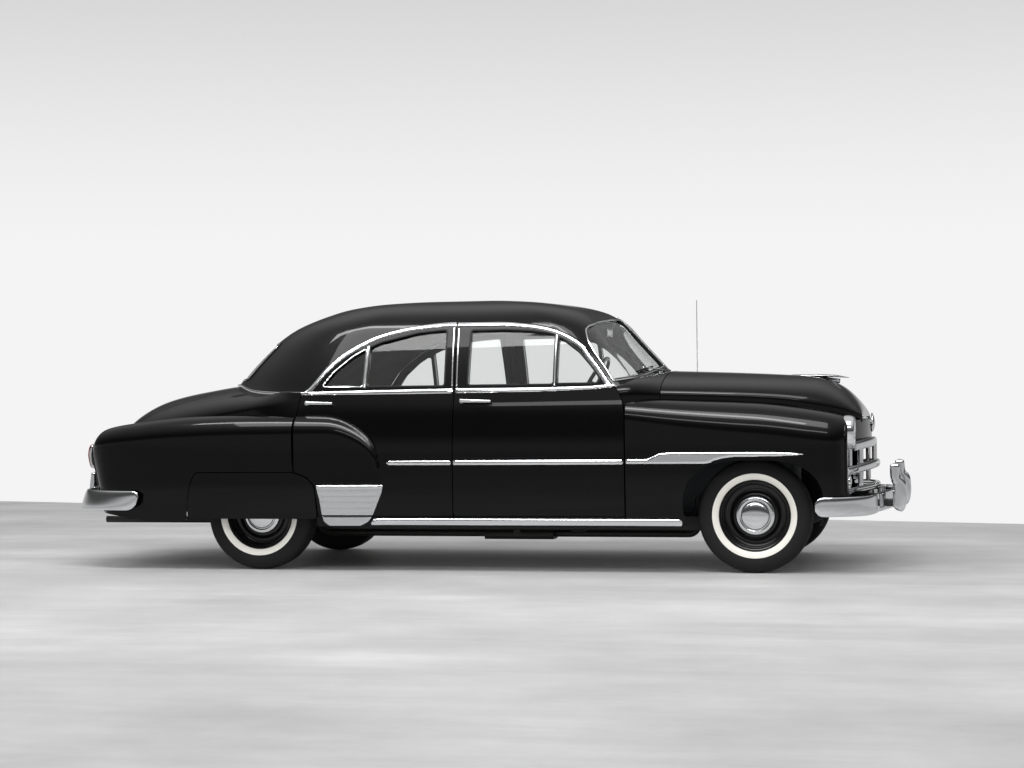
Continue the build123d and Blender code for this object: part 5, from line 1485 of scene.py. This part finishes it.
hub_part = bar(on_wheel([(0, 0, -16), (0, 0, 2), (0, 0, 20)]), 66, 66, 2, 40, up=across)
wheel_parts = [ring(213, 12, -10), hub_part]
t = np.linspace(0, 1, 16)
for angle in (np.radians(-8), np.radians(188), np.radians(-90)):
    reach = 22 + 186 * t
    line = on_wheel(np.stack((np.cos(angle) * reach, np.sin(angle) * reach, -12 * t), axis=1))
    wheel_parts.append(bar(line, 22, 10, 3, 16, up=column_axis))
hand_wheel = "steering_hand_wheel"
place("steering_wheel_dressed", joined(*wheel_parts), dash_paint, hand_wheel, "steering_wheel")
cap_line = on_wheel([(0, 0, 18), (0, 0, 24), (0, 0, 30)])
horn_cap = carried(cap_line, oval(44, 44, 2, 32), up=across, sizes=(1, 0.8, 0.3))
place("horn_ring", joined(ring(128, 4, 2), horn_cap), chrome, hand_wheel)
dial_z = 992
for name, y, radius in (("speed_dial", 350, 62), ("small_dial", 215, 38)):
    profile = [(0, radius), (6, radius + 3), (12, radius - 2), (8, radius - 6), (3, radius - 8)]
    points, faces = turned(profile, count=64)
    dial = points[:, (1, 0, 2)] * (-1, 1, 1) + (861, y, dial_z)
    place(name + "_bezel", wall(facing((dial, faces), (-1, 0, 0)), 1.5), chrome)
    angle = np.linspace(0, 2 * np.pi, 40, endpoint=False)
    face = np.column_stack((y + (radius - 7) * np.cos(angle), dial_z + (radius - 7) * np.sin(angle)))
    place(name + "_face", plate(0, 856, face, 2.0, 9.0), white_rubber, slot="dash_enamel")
knobs = [bar([(862, y, 928), (846, y, 928), (836, y, 928)], 20, 20, 2, 20) for y in (120, 60, 0, -60)]
place("dash_trim", joined(level_bar(858, 940, 640, 6, 14, 3, 12), *knobs), chrome)
mirror = bar([(720, -95, 1388), (722, 0, 1390), (720, 95, 1388)], 18, 52, 3, 24)
mirror_stem = bar([(726, 0, 1396), (752, 0, 1430), (770, 0, 1462)], 9, 9, 2, 12, up=across)
place("rear_view_mirror", joined(mirror, mirror_stem), chrome)
for end, x, crank_x in (("front", 640, 420), ("rear", -300, -520)):
    y = float(side_y(760)) - 52
    pull = bar([(x, y, 760), (x, y - 22, 760), (x - 40, y - 26, 758), (x - 90, y - 26, 752)], 10, 12, 3, 14)
    crank_line = [
        (crank_x, y, 700), (crank_x, y - 24, 700), (crank_x + 30, y - 28, 672), (crank_x + 62, y - 28, 642)
    ]
    crank = bar(crank_line, 11, 11, 2, 14, up=(1, 0, 0.3))
    place_pair("inner_handles_" + end, joined(pull, crank), chrome, "door_" + end)
print("fittings made")

# %% [markdown]
# ## Under the car
# Two box rails run from bumper to bumper: their front ends rise behind the front bumper, and they kick up
# over the rear axle. Cross members join them, and outriggers reach out to the sills. Small pads hang below
# for the jack.

# %% Chassis frame
frame_parts = []
rail_line = [
    (2286, 372), (2190, 372), (2080, 352), (1960, 296), (1860, 257), (600, 257), (-1000, 257), (-1150, 435),
    (-2316, 435),
]
for y in (-guard_y, guard_y):
    line = smooth_rows([(x, y, z) for x, z in rail_line], 50, 22.0)
    frame_parts.append(bar(line, 90, 70, 12, 24, up=across))
    frame_parts.append(bar([(560, y, 207.7), (600, y, 207.7), (640, y, 207.7)], 8, 60, 12, 24, up=across))
    for x in (860.0, -300.0):
        far = np.sign(y) * 790
        outrigger = [(x, far / 2, 276.7), (x, far * 0.75, 276.7), (x, far, 276.7)]
        frame_parts.append(bar(outrigger, 70, 50, 12, 32))
for x, z in ((2240.0, 372.0), (700.0, 237.0), (-560.0, 237.0), (-1700.0, 450.0), (-2280.0, 450.0)):
    frame_parts.append(level_bar(x, z, guard_y, 70, 50, 12, 32))
place("frame_rails", joined(*frame_parts), chassis_paint, stands_for="chassis_frame")
print("frame:", len(frame_parts), "members")

# %% [markdown]
# ## The CAD solids that stay
# The front panel, floor, engine, running gear, dashboard and antenna keep the CAD's own meshes, and only
# take a better finish.

# %% Finishes for the solids that stay
stays = {
    enamel: "front_panel",
    chassis_paint: "floor_pan front_suspension knuckle_left knuckle_right rear_axle rear_springs "
    "fuel_tank radiator",
    iron: "engine",
    pipe_steel: "exhaust",
    dash_paint: "dashboard steering_column",
    chrome: "antenna",
}
for material, names in stays.items():
    for name in names.split():
        for one in nodes[name].material_slots:
            one.material = material
print("finishes given to", sum(len(names.split()) for names in stays.values()), "CAD nodes")

# %% [markdown]
# ## Studio
# A bare hall: a polished concrete floor that ends at a pale wall. Two soft lamps light it, and a wide panel
# overhead shows only in polished surfaces. What enamel and plating mirror isn't the wall but a hall of its
# own: bright at the horizon, a dark band above it, and bright again overhead. Soft light comes from plain
# white all round.

# %% Floor
floor_paint = finish_named(
    "polished_concrete", None, Base_Color="#C8C8C8", Roughness=0.42, Specular_IOR_Level=0.35
)
tree = floor_paint.node_tree
spot = add_node(tree, "ShaderNodeTexCoord").outputs["Object"]
cloud = {"Scale": 0.8, "Detail": 9.0, "Roughness": 0.68}
clouds = add_node(tree, "ShaderNodeTexNoise", cloud, {"Vector": spot}).outputs["Fac"]
streaks = add_node(tree, "ShaderNodeMapping", {"Scale": (0.25, 1.6, 1.0)}, {"Vector": spot}).outputs["Vector"]
wear = {"Scale": 0.9, "Detail": 9.0, "Roughness": 0.7}
worn = add_node(tree, "ShaderNodeTexNoise", wear, {"Vector": streaks}).outputs["Fac"]
both = add_node(tree, "ShaderNodeMath", {"operation": "MULTIPLY"}, {0: clouds, 1: worn}).outputs[0]
span = {"From Min": 0.12, "From Max": 0.4}
level = add_node(tree, "ShaderNodeMapRange", span, {"Value": both}).outputs["Result"]
tones = {"data_type": "RGBA", 6: linear("#A8A8A8"), 7: linear("#CECECE")}
tone = add_node(tree, "ShaderNodeMix", tones, {0: level})
tree.links.new(tone.outputs[2], shader_of(floor_paint).inputs["Base Color"])
# the floor ends along a slanting line, in metres
floor_edge = [(-40, -30, 0), (40, -30, 0), (40, -7.923, 0), (-40, 17.373, 0)]
floor_mesh = bpy.data.meshes.new("studio_floor")
floor_mesh.from_pydata(floor_edge, [], [(0, 1, 2, 3)])
floor_mesh.materials.append(floor_paint)
floor = bpy.data.objects.new("studio_floor", floor_mesh)
bpy.context.scene.collection.objects.link(floor)

# %% The wall, and what mirrors see
world = bpy.data.worlds.new("studio")
world.use_nodes = True
bpy.context.scene.world = world
tree = world.node_tree
way = add_node(tree, "ShaderNodeTexCoord").outputs["Generated"]
height = add_node(tree, "ShaderNodeSeparateXYZ", {}, {0: way}).outputs["Z"]
rays = add_node(tree, "ShaderNodeLightPath").outputs


def shade(start, stop, low, high):
    """From low, a hex code or another shade, to high as the direction's height goes from start to stop."""
    ramp = {"From Min": start, "From Max": stop, "interpolation_type": "SMOOTHSTEP"}
    level = add_node(tree, "ShaderNodeMapRange", ramp, {"Value": height})
    settings, links = {"data_type": "RGBA", 7: linear(high)}, {0: level.outputs["Result"]}
    if isinstance(low, str):
        settings[6] = linear(low)
    else:
        links[6] = low
    return add_node(tree, "ShaderNodeMix", settings, links).outputs[2]


def light(settings, links=()):
    """Plain light of a set or linked colour."""
    return add_node(tree, "ShaderNodeBackground", {**settings, "Strength": 1.0}, links).outputs[0]


def chosen(share, first, second):
    """The first light where share is nothing, and the second where it is one."""
    return add_node(tree, "ShaderNodeMixShader", {}, {0: share, 1: first, 2: second}).outputs[0]


wall_light = light({}, {"Color": shade(0.06, 0.27, "#F4F4F4", "#C9C9C9")})
near_horizon = shade(0.03, 0.16, "#C4C4C4", "#4C4C4C")
mirrored = light({}, {"Color": shade(0.22, 0.9, near_horizon, "#E2E2E2")})
fill = light({"Color": linear("#FFFFFF")})
not_seen = chosen(rays["Is Glossy Ray"], fill, mirrored)
seen_by = {0: rays["Is Camera Ray"], 1: rays["Is Transmission Ray"]}
seen = add_node(tree, "ShaderNodeMath", {"operation": "MAXIMUM"}, seen_by).outputs[0]
both = chosen(seen, not_seen, wall_light)
tree.links.new(both, tree.nodes["World Output"].inputs["Surface"])


# %% Lamps
def soft_lamp(name, place, size, power, aim=(0, 0, 0.8)):
    """A rectangle of light, square on to the line from its place to its aim."""
    data = bpy.data.lights.new(name, "AREA")
    data.shape, data.size, data.size_y, data.energy = "RECTANGLE", size[0], size[1], power
    lamp = bpy.data.objects.new(name, data)
    bpy.context.scene.collection.objects.link(lamp)
    lamp.location = place
    lamp.rotation_euler = (Vector(place) - Vector(aim)).to_track_quat("Z", "Y").to_euler()
    return lamp


soft_lamp("overhead", (-0.6, -2.6, 5.6), (7.0, 0.6), 250)
soft_lamp("near_side", (2.0, -9.0, 6.5), (9.0, 0.8), 170)
panel = soft_lamp("overhead_panel", (0.3, -3.0, 5.8), (8.0, 2.4), 480)
panel.visible_diffuse = False
panel.visible_transmission = False
print("studio ready")
